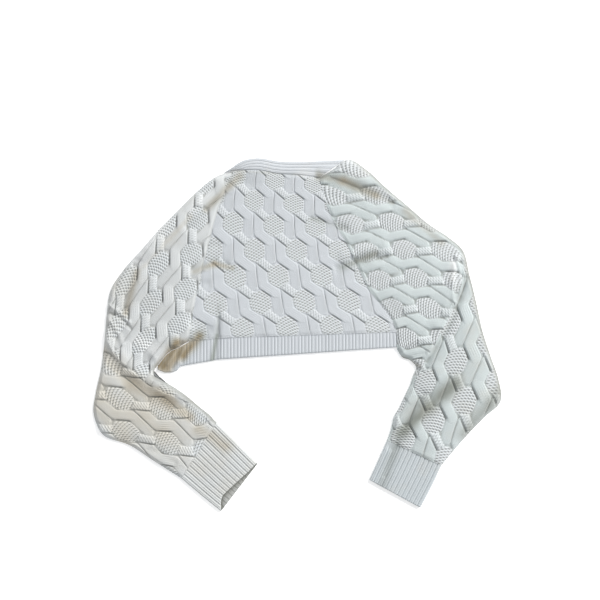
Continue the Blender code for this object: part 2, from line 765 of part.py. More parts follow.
# ---- the pieces ----------------------------------------------------------------------------
def make_sleeve(sections, seam, stitches):
    """Build a sleeve: a flattened tube from its raglan seam to its cuff."""
    line = Seam(seam)
    ends = (line.points, np.asarray(sections[-1]).reshape(2, 2))

    def place_row(places, across):
        return sleeve_plan(sections, places, across, line)

    def height(x, y, nearest):
        to_end = np.minimum(to_polyline(x, y, ends[0]), to_polyline(x, y, ends[1]))
        pattern = pattern_height(*stitches.to_repeats(x, y)) * smooth(nearest / PATTERN_FADE)
        full = UPPER_TOP + CROWN * smooth(nearest / CROWN_REACH) * smooth(to_end / CROWN_REACH)
        raised = full + fold_height(x, y) + seam_sink(to_end, pattern)
        raised = np.maximum(raised, THINNEST_TOP)
        return EDGE_HEIGHT + (raised - EDGE_HEIGHT) * rounded(nearest, EDGE_RADIUS)

    def make_top(solid, plan):
        return patterned_top(solid, plan, height, stitches)

    return tube(place_row, SLEEVE_ROWS, line.columns, make_top)


def make_cuff(sections, under_sections):
    """Build a cuff: a flattened ribbed tube, whose lower layer may reach further at the mouth."""
    start = SEAM / Curve(sections).length * math.sqrt(2.0)

    def place_row(places, across):
        return sleeve_plan(sections, start + (1.0 - start) * np.asarray(places), across)

    def under_shift(places):
        middle = np.full(1, 0.5)
        places = start + (1.0 - start) * places
        return sleeve_plan(under_sections, places, middle) - sleeve_plan(sections, places, middle)

    across = np.linspace(0.0, 1.0, CUFF_RIBS * CUFF_STEPS + 1)

    def height(x, y, nearest):
        ribs = rib_height(across, CUFF_RIBS, RIB_RISE)
        raised = np.maximum(UPPER_TOP + fold_height(x, y) + ribs, THINNEST_TOP)
        return EDGE_HEIGHT + (raised - EDGE_HEIGHT) * rounded(nearest, EDGE_RADIUS)

    def make_top(solid, plan):
        return ribbed_top(solid, plan, height)

    return tube(place_row, CUFF_ROWS, across, make_top, CUFF_STEPS, under_shift)


def make_back():
    """Build the back: a panel between its raglan seams, its neck and its hem."""
    left = Seam(RAGLAN_LEFT)
    right = Seam(RAGLAN_RIGHT)
    right_side = right.points[right.columns <= right.underarm]
    between = np.linspace(0.0, 1.0, BACK_COLUMNS + 1)[1:-1]
    hem = Curve(BACK_HEM).at(between)
    neck = Curve(BACK_NECK).at(between)
    outline = drawn_in(np.concatenate((left.points, hem, right_side[::-1], neck[::-1])), BACK_GAP)
    closed = np.vstack((outline, outline[:1]))
    stitches = BackStitches(BACK_COURSES)

    def height(x, y):
        pattern = pattern_height(*stitches.to_repeats(x, y))
        raised = UPPER_TOP + fold_height(x, y) + seam_sink(to_polyline(x, y, closed), pattern)
        return np.maximum(raised, THINNEST_TOP)

    def accept(x, y):
        return (to_polyline(x, y, closed) > MARK_GAP) & is_inside(x, y, outline)

    marks = Marks()
    marks.lay_pattern(stitches.to_cloth, accept)
    solid = Solid()
    edge = solid.add(outline[:, 0], outline[:, 1], height(outline[:, 0], outline[:, 1]))
    foot = solid.add(outline[:, 0], outline[:, 1], UPPER_FLOOR)
    solid.cover([int(number) for number in edge], marks, height)
    solid.cap(foot)
    solid.strip(np.append(edge, edge[0]), np.append(foot, foot[0]))
    return solid


def drawn_in(outline, gap):
    """Draw a closed outline in by this gap; it runs anticlockwise."""
    middle = np.zeros_like(outline)
    for run in (outline - np.roll(outline, 1, axis=0), np.roll(outline, -1, axis=0) - outline):
        inward = np.stack((-run[:, 1], run[:, 0]), axis=1)
        middle += inward / np.linalg.norm(run, axis=1, keepdims=True)
    return outline + 2.0 * gap * middle / (middle**2).sum(axis=1, keepdims=True)


def draw_in(plan, gap):
    """Draw the edges of a panel in by this gap, along its rows and its columns."""
    plan = plan.copy()
    for edge, inner in ((0, 1), (-1, -2)):
        for line in (plan, plan.transpose(1, 0, 2)):
            away = line[:, inner] - line[:, edge]
            line[:, edge] += gap * away / np.linalg.norm(away, axis=1, keepdims=True)
    return plan


def make_front(outline):
    """Build a front: a plain sheet under the back."""
    solid = Solid()
    points = np.asarray(outline, dtype=float)
    low = solid.add(points[:, 0], points[:, 1], 0.0)
    high = solid.add(points[:, 0], points[:, 1], WALL)
    solid.cap(low)
    solid.cap(high)
    solid.strip(np.append(low, low[0]), np.append(high, high[0]))
    return solid


def make_neck_band():
    """Build the neck band: ribs along the back neck, its free edge drooping to the surface."""
    u = np.linspace(0.0, 1.0, BAND_COLUMNS + 1)
    v = np.linspace(0.0, 1.0, BAND_RIBS * 2 + 1)
    seam = Curve(BAND_SEAM).at(u)
    edge = Curve(BAND_EDGE).at(u)
    plan = seam[None] * (1 - v)[:, None, None] + edge[None] * v[:, None, None]
    plan = draw_in(plan, BAND_GAP)
    droop = np.broadcast_to((UPPER_FLOOR * (1.0 - smooth(v)))[:, None], plan.shape[:2])
    ribs = rib_height(v, BAND_RIBS, RIB_RISE)[:, None]
    swell = BAND_SWELL * np.sin(math.pi * v)[:, None]
    return sheet(plan, droop + WALL + ribs + swell, droop)


def make_hem_band():
    """Build the hem band: across the back, round both its ends and under to the open front."""
    x, upper_y, lower_y, top = np.asarray(HEM).T
    first = x[0]
    last = x[-1]
    turn = WALL / 2
    # the stations run from the open front to the left, round, over the back, round and back under
    plain = np.linspace(first, HEM_RIBS_FROM, HEM_END_STEPS, endpoint=False)
    over = np.concatenate((plain, np.linspace(HEM_RIBS_FROM, last, HEM_RIBS * 2 + 1)))
    left = np.linspace(-FRONT_OPENING, first, HEM_END_STEPS)
    right = np.linspace(last, FRONT_OPENING, HEM_END_STEPS)
    outer_x = np.concatenate((left, [first - turn], over, [last + turn], right))
    inner_x = np.concatenate((left, [first + turn], over, [last - turn], right))
    inner_x = np.clip(inner_x, first + turn, last - turn)
    share = (over - HEM_RIBS_FROM) / (last - HEM_RIBS_FROM)
    ribs = np.where(share >= 0.0, rib_height(share, HEM_RIBS, HEM_RIB_RISE), 0.0)
    solid = Solid()

    def edge_y(stations, part):
        upper = np.interp(stations, x, upper_y) - SEAM
        return upper + (np.interp(stations, x, lower_y) - upper) * part

    def add_line(stations, part, low, high):
        under = np.full(HEM_END_STEPS, low)
        turns = (low + high[[0, -1]]) / 2
        z = np.concatenate((under, turns[:1], high, turns[1:], under))
        return solid.add(stations, edge_y(stations, part), z)

    outer = []
    for part, lift in zip((0.0, 0.5, 1.0), HEM_RIB_EDGES):
        fold = np.maximum(fold_height(over, edge_y(over, part)), -HEM_CREASE)
        fold = np.where(over > HEM_RIBS_FROM, fold, 0.0)
        high = np.interp(over, x, top) + fold + ribs * lift
        outer.append(add_line(outer_x, part, 0.0, high))
    inside = np.full(over.shape, UPPER_FLOOR)
    inner = [add_line(inner_x, part, WALL, inside) for part in (0.0, 1.0)]
    solid.grid(np.stack(outer))
    solid.grid(np.stack(inner))
    solid.strip(outer[0], inner[0])
    solid.strip(outer[-1], inner[-1])
    for end in (0, -1):
        solid.cap([line[end] for line in outer] + [line[end] for line in inner[::-1]])
    return solid


# ---- building ------------------------------------------------------------------------------
def make_pieces():
    """Build every piece of the shrug."""
    return {
        "back_panel": make_back(),
        "front_left": make_front(FRONT_LEFT),
        "front_right": make_front(FRONT_RIGHT),
        "sleeve_left": make_sleeve(
            SLEEVE_LEFT,
            RAGLAN_LEFT,
            SleeveStitches(UPPER_SLEEVE_LEFT, LOWER_SLEEVE_LEFT, ELBOW_LEFT),
        ),
        "sleeve_right": make_sleeve(
            SLEEVE_RIGHT,
            RAGLAN_RIGHT,
            SleeveStitches(UPPER_SLEEVE_RIGHT, LOWER_SLEEVE_RIGHT, ELBOW_RIGHT),
        ),
        "cuff_left": make_cuff(CUFF_LEFT, CUFF_LEFT_UNDER),
        "cuff_right": make_cuff(CUFF_RIGHT, CUFF_RIGHT),
        "hem_band": make_hem_band(),
        "neck_band": make_neck_band(),
    }


def knit_material(name, colour):
    """Make a piece's own plain material."""
    material = bpy.data.materials.new(name)
    material.use_nodes = True
    shader = material.node_tree.nodes["Principled BSDF"]
    shader.inputs["Base Color"].default_value = colour
    shader.inputs["Roughness"].default_value = KNIT_ROUGHNESS
    shader.inputs["Metallic"].default_value = 0.0
    return material


def add_piece(name, solid, shift, collection):
    """Turn a solid into an object, in metres, in the middle of the garment."""
    points = (np.asarray(solid.points) + shift) * MM
    mesh = bpy.data.meshes.new(name)
    mesh.from_pydata(points.tolist(), [], solid.faces)
    shape = bmesh.new()
    shape.from_mesh(mesh)
    bmesh.ops.triangulate(shape, faces=shape.faces[:])
    bmesh.ops.recalc_face_normals(shape, faces=shape.faces[:])
    shape.to_mesh(mesh)
    shape.free()
    mesh.materials.append(knit_material(f"{name}_knit", KNIT_COLOURS[name]))
    piece = bpy.data.objects.new(name, mesh)
    collection.objects.link(piece)


def main():
    """Build the shrug in an empty scene."""
    for old in list(bpy.data.objects):
        bpy.data.objects.remove(old, do_unlink=True)
    collection = bpy.data.collections.new("knitted_shrug")
    bpy.context.scene.collection.children.link(collection)
    pieces = make_pieces()
    points = np.concatenate([np.asarray(solid.points) for solid in pieces.values()])
    middle = (points.min(axis=0) + points.max(axis=0)) / 2
    shift = -np.array((middle[0], middle[1], points[:, 2].min()))
    for name, solid in pieces.items():
        add_piece(name, solid, shift, collection)


main()
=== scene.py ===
"""The looks of a knitted shrug, laid flat with its back upwards.

Every knitted piece is rebuilt over its solid as a closed wall of cloth: the outer face carries the
pattern of crossed strips and moss, the ribs and the creases in its points, and the yarn's stitches
follow it through a UV map that counts stitches across and along.  The tables are in millimetres:
+X to the right of the laid garment, +Y towards the neck, +Z up.
"""
import logging
import math
from collections.abc import Callable, Sequence
from dataclasses import dataclass
from enum import Enum
from typing import NamedTuple, Protocol

import bmesh
import bpy
import numpy as np
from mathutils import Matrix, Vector
from numpy.typing import NDArray


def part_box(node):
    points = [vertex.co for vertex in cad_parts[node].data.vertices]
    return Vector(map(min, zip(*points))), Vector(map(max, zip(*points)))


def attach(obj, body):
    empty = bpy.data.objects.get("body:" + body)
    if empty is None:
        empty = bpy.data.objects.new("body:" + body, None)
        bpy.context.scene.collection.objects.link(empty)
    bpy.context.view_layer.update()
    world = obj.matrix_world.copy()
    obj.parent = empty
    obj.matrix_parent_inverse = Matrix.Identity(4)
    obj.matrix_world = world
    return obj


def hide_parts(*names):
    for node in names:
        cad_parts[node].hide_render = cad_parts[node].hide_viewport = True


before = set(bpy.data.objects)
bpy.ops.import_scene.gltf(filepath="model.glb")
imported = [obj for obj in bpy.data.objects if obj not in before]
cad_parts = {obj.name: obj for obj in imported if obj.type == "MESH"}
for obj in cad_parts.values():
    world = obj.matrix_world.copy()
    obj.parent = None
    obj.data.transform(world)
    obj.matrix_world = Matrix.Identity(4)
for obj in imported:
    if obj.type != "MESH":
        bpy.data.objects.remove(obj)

Floats = NDArray[np.float64]
Numbers = NDArray[np.int64]
Corner = tuple[float, float]
Section = tuple[float, float, float, float]  # a line across a sleeve: its outer and inner ends

LOG = logging.getLogger("shrug")
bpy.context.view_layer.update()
MM = 0.001


# ---- tables' rows ----
class Fold(NamedTuple):
    """A soft ridge or trough from start to end; bow is its sideways bulge, rise its height."""

    start_x: float
    start_y: float
    end_x: float
    end_y: float
    bow: float
    width: float
    rise: float


class Bend(NamedTuple):
    """Where the knit pattern lies on a stretch of cloth, which bends it.

    Repeats across and along are cubics of the place, measured from the middle in spans: the factors
    stand for 1, x, y, xx, xy, yy, xxx, xxy, xyy and yyy.
    """

    middle: Corner
    across: tuple[float, ...]
    along: tuple[float, ...]


class PaintedShading(NamedTuple):
    """A soft patch along a line with painted shade, painted light where its shade is negative, and a
    warmer or cooler colour than the rest.
    """

    start_x: float
    start_y: float
    end_x: float
    end_y: float
    width: float
    shade: float
    warmth: float


class Cut(NamedTuple):
    """The size that a piece is knitted to before it is laid, in metres and square metres."""

    width: float
    length: float
    area: float


# ---- the cloth ----
WALL = 2.6  # thickness of the plain cloth
UPPER_FLOOR = 3.4  # height of the upper layer's inner face
UPPER_TOP = 5.8  # height of the upper layer's outer face, without its pattern
THINNEST_TOP = 4.7  # the lowest that a groove may reach
CROWN = 2.2  # how much higher a sleeve stands away from its edges
CROWN_REACH = 40.0  # how far from an edge it stands so
EDGE_HEIGHT = 3.2  # height of the outermost line of a tube's rounded edge
EDGE_RADIUS = 7.0  # how far in from that line the rounding runs
BULGE_HEIGHT = 1.3  # a line on the tube's side, a little below the outermost one
BULGE_INSET = 0.5
FOOT_INSET = 2.5  # how far in from the outermost line the tube meets the surface
PATTERN_FADE = 9.0  # the pattern sinks into a rounded edge over this distance
SEAM = 0.3  # gap between two pieces along a seam
SEAM_PATTERN = 0.85  # share of the back's pattern that reaches a raglan seam
SLEEVE_SEAM_PATTERN = 0.62  # and of a sleeve's, which is deeper
RIB_SEAM_PATTERN = 0.5  # and a seam beside ribs
SEAM_REACH = 6.0  # how far from the seam the pattern is whole again
RAGLAN_REACH = 0.3  # share of a sleeve over which the raglan's bends even out
BACK_GAP = 0.1  # how far the back is drawn in from the seams' lines
BAND_GAP = 0.3  # and the neck band


# ---- seams and outlines ----
RAGLAN_LEFT = ((-119, 308), (-147, 239), (-168, 163), (-187, 84), (-204, -13))
RAGLAN_RIGHT = ((43, 296), (64, 226), (96, 169), (136, 87), (189, 4), (191, -30))
UNDERARM_KNOT = 4
BACK_NECK = ((-119, 308), (-75, 311), (-39, 304), (7, 301), (43, 296))
BACK_HEM = ((-204, -13), (-145, -8), (-12, -3), (189, 4))
BAND_SEAM = ((-115, 310), (-75, 311), (-39, 304), (7, 301), (43, 296))
BAND_EDGE = (
    (-138, 306), (-124, 315), (-102, 329), (-77, 334),
    (-31, 328), (7, 327), (52, 329), (92, 331),
)
SLEEVE_LEFT = (
    (-119, 308, -204, -13), (-147, 301, -214, -19), (-189, 270, -223, -25), (-225, 234, -237, -31),
    (-259, 200, -248, -40), (-294, 160, -259, -53), (-326, 124, -269, -68), (-352, 84, -269, -78),
    (-360, 36, -257, -86), (-364, -11, -242, -95), (-370, -63, -221, -108), (-381, -114, -200, -124),
    (-385, -148, -185, -137), (-368, -190, -172, -147), (-316, -211, -162, -156), (-273, -239, -157, -162),
    (-218, -274, -151, -167),
)
SLEEVE_RIGHT = (
    (43, 296, 191, -30), (69, 312, 197, -40), (98, 331, 202, -45), (132, 312, 208, -47),
    (168, 279, 214, -49), (208, 245, 218, -52), (250, 209, 221, -55), (290, 182, 225, -59),
    (313, 162, 227, -66), (328, 112, 221, -80), (341, 59, 216, -95), (352, 8, 210, -108),
    (368, -42, 202, -124), (383, -86, 195, -139), (387, -127, 185, -156), (356, -158, 180, -177),
    (316, -200, 176, -190), (275, -249, 172, -201),
)
CUFF_LEFT = (
    (-218, -274, -151, -167), (-180, -306, -111, -207), (-143, -336, -73, -245),
)
# How far its upper layer is drawn back from the mouth, by the share of the mouth's width.
CUFF_LEFT_DRAWN = (
    (0.0, 0.05, 0.1, 0.2, 0.3, 0.5, 0.8, 1.0),
    (0.0, 4.0, 9.5, 16.0, 15.0, 11.0, 5.0, 2.4),
)
DRAWN_TOWARDS = (-0.79, 0.61)
CUFF_RIGHT = (
    (275, -249, 172, -201), (256, -289, 155, -239), (235, -329, 138, -276),
)
# Places along the hem band: x, the y of its upper and its lower edge, and its height.
HEM = (
    (-262, -59.0, -68, 4.8), (-250, -42.7, -73, 5.0), (-237, -31.3, -73, 5.2), (-226, -27, -69, 5.4),
    (-220, -24, -61, 5.6), (-204, -15, -58, 5.8), (-145, -9, -48, 5.8), (-12, -4, -39, 5.8),
    (188, 1, -25, 5.8),
)
HEM_SEAM_LEFT = tuple(station[:2] for station in HEM[:6])
HEM_RIBS_FROM = -222.0
HEM_RIBS_FULL = -198.0
HEM_LEANS_FROM = 150.0
HEM_END_LEAN = 1.1  # how far its lower corner leans towards the right sleeve
FRONT_OPENING = 30
# The fronts: from the neck down along the raglan seam, and along the open front edge.
FRONT_LEFT = (
    ((-112, 285), (-139, 238), (-154, 190), (-176, 128), (-181, 60), (-186, -3)),
    ((-98, 285), (-70, 220), (-44, 140), (-32, 60), (-30, 0)),
)
FRONT_RIGHT = (
    ((26, 270), (18, 220), (20, 140), (28, 60), (30, 2)),
    ((38, 270), (64, 205), (100, 138), (146, 42), (179, 6)),
)


# ---- the knit pattern ----
# A lattice of moss hexagons and pairs of smooth strips, half dropped, in millimetres with y down
# the cloth.  Each hexagon is tied to the next one down and to the right by a moss bar that passes
# in front of the left strip, and the right strip of each pair crosses in front to become the left
# strip of the next pair.
REPEAT_ACROSS = 82.0
REPEAT_ALONG = 93.0
HEXAGON_HALF_WIDTH = 20.8
HEXAGON_SLANT_REACH = 20.7  # from its middle to the two sides that the strips cross
HEXAGON_TIE_REACH = 19.6  # from its middle to the two sides that the bars leave
SLANT_NORMAL = (-0.57, 0.82)
TIE_NORMAL = (0.47, 0.88)
HEXAGON_ROUNDING = 6  # the higher, the sharper its corners
HEXAGON_RIM = 0.35  # how far in from its outline, as a share, a hexagon is full
HEXAGON_HEIGHT = 2.3
HEXAGON_DOME = 0.1  # how much lower its outline lies
STRIP_HALF_WIDTH = 10.4
STRIP_STRAIGHT = 15.8  # half the length of a strip's straight run
STRIP_NEXT = (30.8, 30.4)  # where a crossing strip is straight again
BAR_FROM = (5.4, 15.6)
BAR_TO = (33.0, 36.8)
BAR_HALF_WIDTH = 9.2
# Heights of a form's near edge, to the left and below, and of its far edge.
RIGHT_STRIP_HEIGHTS = (3.0, 2.4)
LEFT_STRIP_HEIGHTS = (2.2, 2.9)
CROSSING_HEIGHTS = (3.3, 2.5)
BAR_HEIGHTS = (3.1, 2.4)
CROSSING_RISE = 0.4  # how much more the middle of a crossing strip stands up
CROSSING_RIPPLE = 0.25  # how high its wales stand
BAR_RISE = 0.9  # how much more the middle of a bar stands up
# How abruptly a form ends on its near side and on its far one.
STRIP_EDGES = (16, 16)
CROSSING_EDGES = (9, 14)
BAR_EDGES = (9, 4)
PATTERN_FLOOR = 1.5  # the cloth's height between the forms
WALE = 3.7  # one stitch across
ROW = 2.7  # one stitch along
SEED_ACROSS = 9.4  # moss: two seeds across
SEED_ALONG = 5.4  # and two rows of them along
SEED_PHASES = (2.0 * math.pi * WALE / SEED_ACROSS, 2.0 * math.pi * ROW / SEED_ALONG)
SEED_RISE = 0.5
SEED_BOW = 0.007  # how the rows of seeds in a hexagon bow, per millimetre
SEED_TURNS = (7.3, 11.9)  # how the seeds' places change from one hexagon to the next
BAR_SEEDS = 0.6  # how strong a bar's seeds are, beside a hexagon's
SLEEVE_SEEDS = (0.82, 1.22)  # how many seeds a sleeve's moss has, beside the back's
SEED_LEAN = 0.62  # share of the seeds' slanting rows that climbs to the right

BEND_SPAN = 150.0
BACK_KNIT = Bend(
    (-37.7, 161.7),
    (0.533, 1.897, 0.164, -0.014, 0.137, -0.141, -0.046, -0.057, 0.023, -0.034),
    (1.469, -0.013, -1.571, 0, -0.154, -0.111, -0.017, 0.018, -0.09, -0.071),
)
UPPER_SLEEVE_LEFT = Bend(
    (-235.6, 104.4),
    (0.049, 1.66, -1.385, -0.421, -0.048, 0.043, 0, 0, 0, 0),
    (0.026, -0.865, -0.929, -0.126, -0.295, 0.084, 0, 0, 0, 0),
)
LOWER_SLEEVE_LEFT = Bend(
    (-278.6, -128.6),
    (-0.592, 1.314, 1.513, 0.002, -0.017, 0.234, -0.104, -0.194, 0.02, -0.008),
    (-1.199, 0.756, -0.998, 0.282, 0.203, 0.111, 0.195, 0.373, -0.183, -0.109),
)
UPPER_SLEEVE_RIGHT = Bend(
    (171.1, 133.3),
    (-0.53, 0.949, 1.839, 0.116, -0.04, 0.065, 0.039, -0.096, -0.052, 0.042),
    (-1.564, 1.158, -0.912, -0.089, -0.184, -0.058, -0.178, 0.07, -0.062, 0.04),
)
LOWER_SLEEVE_RIGHT = Bend(
    (279.4, -68.1),
    (-1.67, 1.796, -0.732, -0.264, 0.255, -0.109, -0.15, -0.241, 0.097, 0.043),
    (-1.805, -0.498, -1.135, -0.005, 0.054, 0.031, 0.019, 0.052, -0.138, 0.012),
)
ELBOW_LEFT = (
    (-373, 0), (-357, -17), (-339, -42), (-319, -63), (-297, -78), (-278, -95), (-250, -110), (-199, -130),
)
ELBOW_RIGHT = ((229, -76), (244, -49), (265, -11), (290, 36), (311, 93), (322, 156))


# ---- ribs ----
RIB_RISE = 1.6
CUFF_RIBS = 13
HEM_RIBS = 64
HEM_RIB_RISE = 0.8
HEM_EDGE = 1.6  # how far from its lower edge the hem band starts to turn down
HEM_CREASE = 2.0  # how far a crease may sink into the hem band
BAND_RIBS = 4
BAND_SWELL = 1.2


# ---- folds ----
FOLDS = tuple(Fold(*row) for row in (
    (-130, 285, -206, 205, 0, 11, -3.0),  # hollow beside the left raglan, at the neck
    (-153, 291, -278, 160, 0, 17, 2.5),  # roll along the left shoulder
    (-297, 137, -328, 34, -6, 10, -3.0),  # crease inside the left elbow's outer edge
    (-195, 124, -134, 131, 4, 10, -2.5),  # pucker across the left raglan
    (-360, -2, -205, -120, -18, 13, 4.4),  # the upper sleeve rolls over the lower one
    (-360, -36, -220, -140, -18, 17, -1.3),  # and the lower sleeve sinks beside it
    (-205, 14, -268, -40, 0, 12, 4.5),  # roll at the left underarm
    (-147, 30, -153, -53, 0, 6, -2.5),  # crease across the hem band
    (-164, 8, -225, -34, 0, 15, -2.5),  # the back's corner sinks at the left underarm
    (-111, 291, -75, 281, 0, 11, -1.5),  # dent under the neck band
    (41, 300, 181, 249, 6, 10, -3.0),  # crease from the neck along the right shoulder
    (92, 317, 206, 238, 0, 15, 2.0),  # roll above it
    (75, 125, 168, 148, 4, 8, -3.0),  # drag crease across the right raglan
    (90, 147, 165, 168, 0, 13, 2.5),  # roll above it
    (320, 106, 235, -68, 8, 9, -2.0),  # crease at the right elbow
    (305, 156, 265, 17, 6, 11, 2.0),  # roll beside it
    (240, -114, 180, -212, -2, 11, -3.0),  # long crease down the right forearm
    (193, -34, 238, -21, 0, 6, -1.5),  # gathers at the right underarm
    (202, -46, 242, -36, 0, 5, -1.5),
    # The small ones.
    (-359, 57, -315, 23, 3, 4, 2.6),  # strands pulled across the left elbow
    (-352, 40, -312, 10, 3, 3.5, -2.0),
    (-362, 34, -328, -18, 5, 5, 2.4),
    (-355, -14, -322, -58, -4, 4, 1.6),  # smooth strand along the roll's foot
    (-227, -23, -244, -57, 2, 4.5, 1.6),  # gathers at the left underarm
    (-235, -25, -259, -61, 2, 5, -1.8),
    (-221, -26, -235, -65, 2, 2.6, -1.8),
    (-212, -12, -225, -53, 2, 3.4, 1.2),
    (-202, -8, -217, -53, 2, 2.6, -1.7),
    (-193, -5, -205, -42, 2, 3.4, 1.0),
    (303, 146, 297, 60, -6, 5, 2.2),  # smooth pipe along the right elbow
    (297, 60, 235, -60, 2, 5.5, 2.4),
    (-338, -68, -300, -92, -4, 8, -1.6),  # the left elbow's valley runs out
    (-280, -216, -228, -244, 3, 6, -1.4),  # gather above the left cuff
    (-330, -198, -277, -206, 0, 7, -1.2),  # dent along the left forearm's edge
    (-146, 40, -156, -50, 0, 2.4, -2.0),  # the hem band's crease is narrow at its bottom
    (29, 218, 94, 200, 2, 6, -1.6),  # crease from the right raglan into the back
    (-206, 152, -150, 170, 3, 7, -1.2),  # small puckers beside the left raglan
    (-214, 88, -168, 96, 3, 7, -1.0),
    (302, 146, 311, 75, 2, 4, 1.2),  # smooth ridge at the right elbow
    (296, 144, 303, 121, 0, 3, -1.6),  # and the dark line beside it
    (318, 108, 303, 45, 3, 4.5, -2.0),  # valley that runs on from it
    (301, 40, 246, -52, 2, 4.5, -2.0),
    (248, -46, 234, -69, 0, 6, -1.2),
    (236, -121, 205, -173, -2, 4.5, -1.8),  # the forearm's crease has a sharp middle
    (191, -201, 166, -268, 0, 5, -1.4),  # and runs on into the cuff
    (197, -24, 241, -9, 2, 4, 1.0),  # ridges between the underarm's gathers
    (206, -57, 236, -50, 1, 4, 1.0),
    (60, 262, 128, 240, 3, 6, -0.9),  # soft dents below the right shoulder
    (150, 96, 196, 118, 2, 6, -0.9),
    (-64, -6, -66, -44, 1, 9, -0.5),  # the hem band waves a little
    (52, -4, 50, -38, 1, 9, -0.5),
))
# Patches of painted shade along creases, folds, seams and hollows, of painted light where a patch's shade
# is negative, and of warmer or cooler colour; in the creases the warmth is the warm colour of their
# painted shade.
PAINTED_SHADING = tuple(PaintedShading(*row) for row in (
    (-263, -62, -240, -34, 6, 1.00, 0.5),  # the seam at the left underarm
    (-252, -62, -226, -16, 11, 0.95, 1.0),  # the left underarm's gathers
    (-244, -64, -212, -20, 11, 0.80, 1.0),
    (-214, -40, -184, -4, 11, 0.86, 1.0),
    (-364, -34, -318, -82, 14, 0.05, 1.0),  # the valley under the left elbow's roll
    (-306, -92, -250, -122, 17, 0.42, 1.0),
    (-262, -112, -236, -133, 12, 0.76, 1.0),
    (-236, -133, -200, -156, 10, 0.40, 1.0),
    (-364, -135, -326, -201, 16, 0.06, 1.0),  # the left forearm's outer edge
    (-322, 40, -301, 118, 7, 0.32, 0.6),  # inside the left elbow
    (-286, 130, -200, 222, 6, 0.18, 0.5),
    (-170, 236, -107, 300, 8, 0.35, 0.7),  # from the neck down the left shoulder
    (-193, 118, -155, 133, 6, 0.32, 0.6),  # the pucker across the left raglan
    (-155, 133, -121, 125, 7, 0.42, 0.9),
    (-147, 55, -151, -2, 4, 0.32, 0.0),  # the crease down to the hem
    (-151, -2, -160, -49, 4.5, 0.80, 0.0),
    (-122, 309, 16, 301, 3.5, 0.25, 0.2),  # under the neck band
    (29, 218, 94, 200, 6, 0.35, 0.0),  # the crease from the right raglan
    (88, 127, 149, 152, 9, 0.70, 0.50),  # the drag crease at the right
    (41, 300, 88, 289, 11, 0.75, 0.5),  # along the right shoulder
    (88, 289, 150, 262, 10, 0.68, 0.6),
    (150, 262, 181, 249, 7, 0.25, 0.3),
    (206, 232, 273, 173, 9, 0.34, 0.5),
    (318, 108, 303, 45, 5, 0.25, 0.0),  # the right elbow
    (301, 40, 246, -52, 5, 0.25, 0.0),
    (298, -92, 244, -141, 17, 0.94, 0.1),  # the right forearm's hollow
    (244, -141, 197, -190, 13, 0.86, 0.1),
    (191, -206, 163, -285, 10, 0.52, 0.0),
    (387, -106, 320, -190, 15, 0.68, 0.1),  # and its outer edge
    (-183, -179, -136, -211, 14, 0.30, 0.8),  # above the left cuff
    (304, 86, 297, 46, 8, 0.28, 0.0),
    (200, -46, 232, -60, 5, 0.35, 0.4),  # the right underarm's gathers
    (-292, 156, -256, 216, 24, -1.00, 0.0),  # painted light on stretches that look brighter
    (-198, 238, -170, 264, 10, -0.70, 0.0),
    (296, 134, 293, 106, 7, -0.90, -0.2),
    (-300, -10, -262, -34, 13, -0.95, 0.0),
    (10, 306, 30, 300, 8, -0.50, 0.0),
    (140, 8, 188, 14, 17, -0.15, -0.9),
    (-360, -120, -250, -180, 45, 0.08, 0.9),  # broad warm and cool stretches, some with a little painted shade
    (-250, -210, -110, -290, 40, 0.00, 0.2),
    (-345, 95, -345, 60, 45, 0.00, 0.4),
    (225, -150, 260, -60, 50, 0.10, 0.0),
    (330, -20, 330, -150, 50, 0.12, 0.0),
    (-40, 150, 40, 150, 120, 0.00, -0.5),
    (-100, -20, 80, -20, 100, 0.00, -0.4),
    (240, 150, 240, 100, 60, 0.00, -0.3),
))


# ---- fine forms and meshes ----
STRIP_MIDDLE = 10.3  # from a furrow to the middle of the strips beside it
GROOVES = (((2.6, -23.4), (22.0, -9.8)), ((0.6, 23.1), (24.4, 41.4)))
GROOVE_DEPTH = 1.5  # the dark grooves beside a hexagon
GROOVE_WIDTH = 1.35
FURROWS = (((1.9, -18.0), (-3.4, 22.0)),)
FURROW_DEPTH = 0.25  # the furrow between two strips
FURROW_WIDTH = 1.0
# Painted shade in the furrow, and on the strip to its left, where the strip on its right would shade it.
FURROW_SHADE = 0.75
FURROW_BESIDE = 3.0  # how far to its left the strip gets painted shade too
BESIDE_SHADE = 0.26
RIB_BODY = 0.6  # share of a rib's height that its two wales stand up together
SLEEVE_GROOVES = 1.15  # how much painted shade a sleeve's other grooves get, beside the main ones
SLEEVE_SOFTNESS = 0.6  # over how many rows and columns a sleeve's forms are rounded
SLEEVE_ROUNDNESS = 0.55  # how much higher the middles of its forms stand
SLEEVE_ROUNDING = 1.5  # over how many rows and columns those are rounded
UNDER_RELIEF = 1.1  # how deep the grooves of a resting underside are
UNDER_RIM = 12.0  # how far from its edge that relief starts
INSIDE_RIBS = 0.55  # how high the ribs stand on a cuff's inner face
INSIDE_SHADE = 0.45  # how much painted shade the inner faces get
LIP_SHADE = 1.5  # how much more painted shade they get under a mouth's upper lip
LIP_REACH = 5.0  # and how fast that fades
INSIDE_FURROW_SHADE = 0.8  # and how much more painted shade in their furrows
HOLLOW_FULL = 3.2  # a crease this deep takes the full painted shade
GROOVE_FULL = 1.5  # and a groove this far below the cloth round it
GROOVE_BLUR = 3.5  # which reaches over this many rows and columns
EDGE_SHADE = 0.05  # how much painted shade a tube's outermost line gets
LIT_SIDE_SHADE = 1.4  # how much more painted shade on the sides that face the light, towards the right
CUFF_LIT_SIDE_SHADE = 0.15  # and on a cuff's
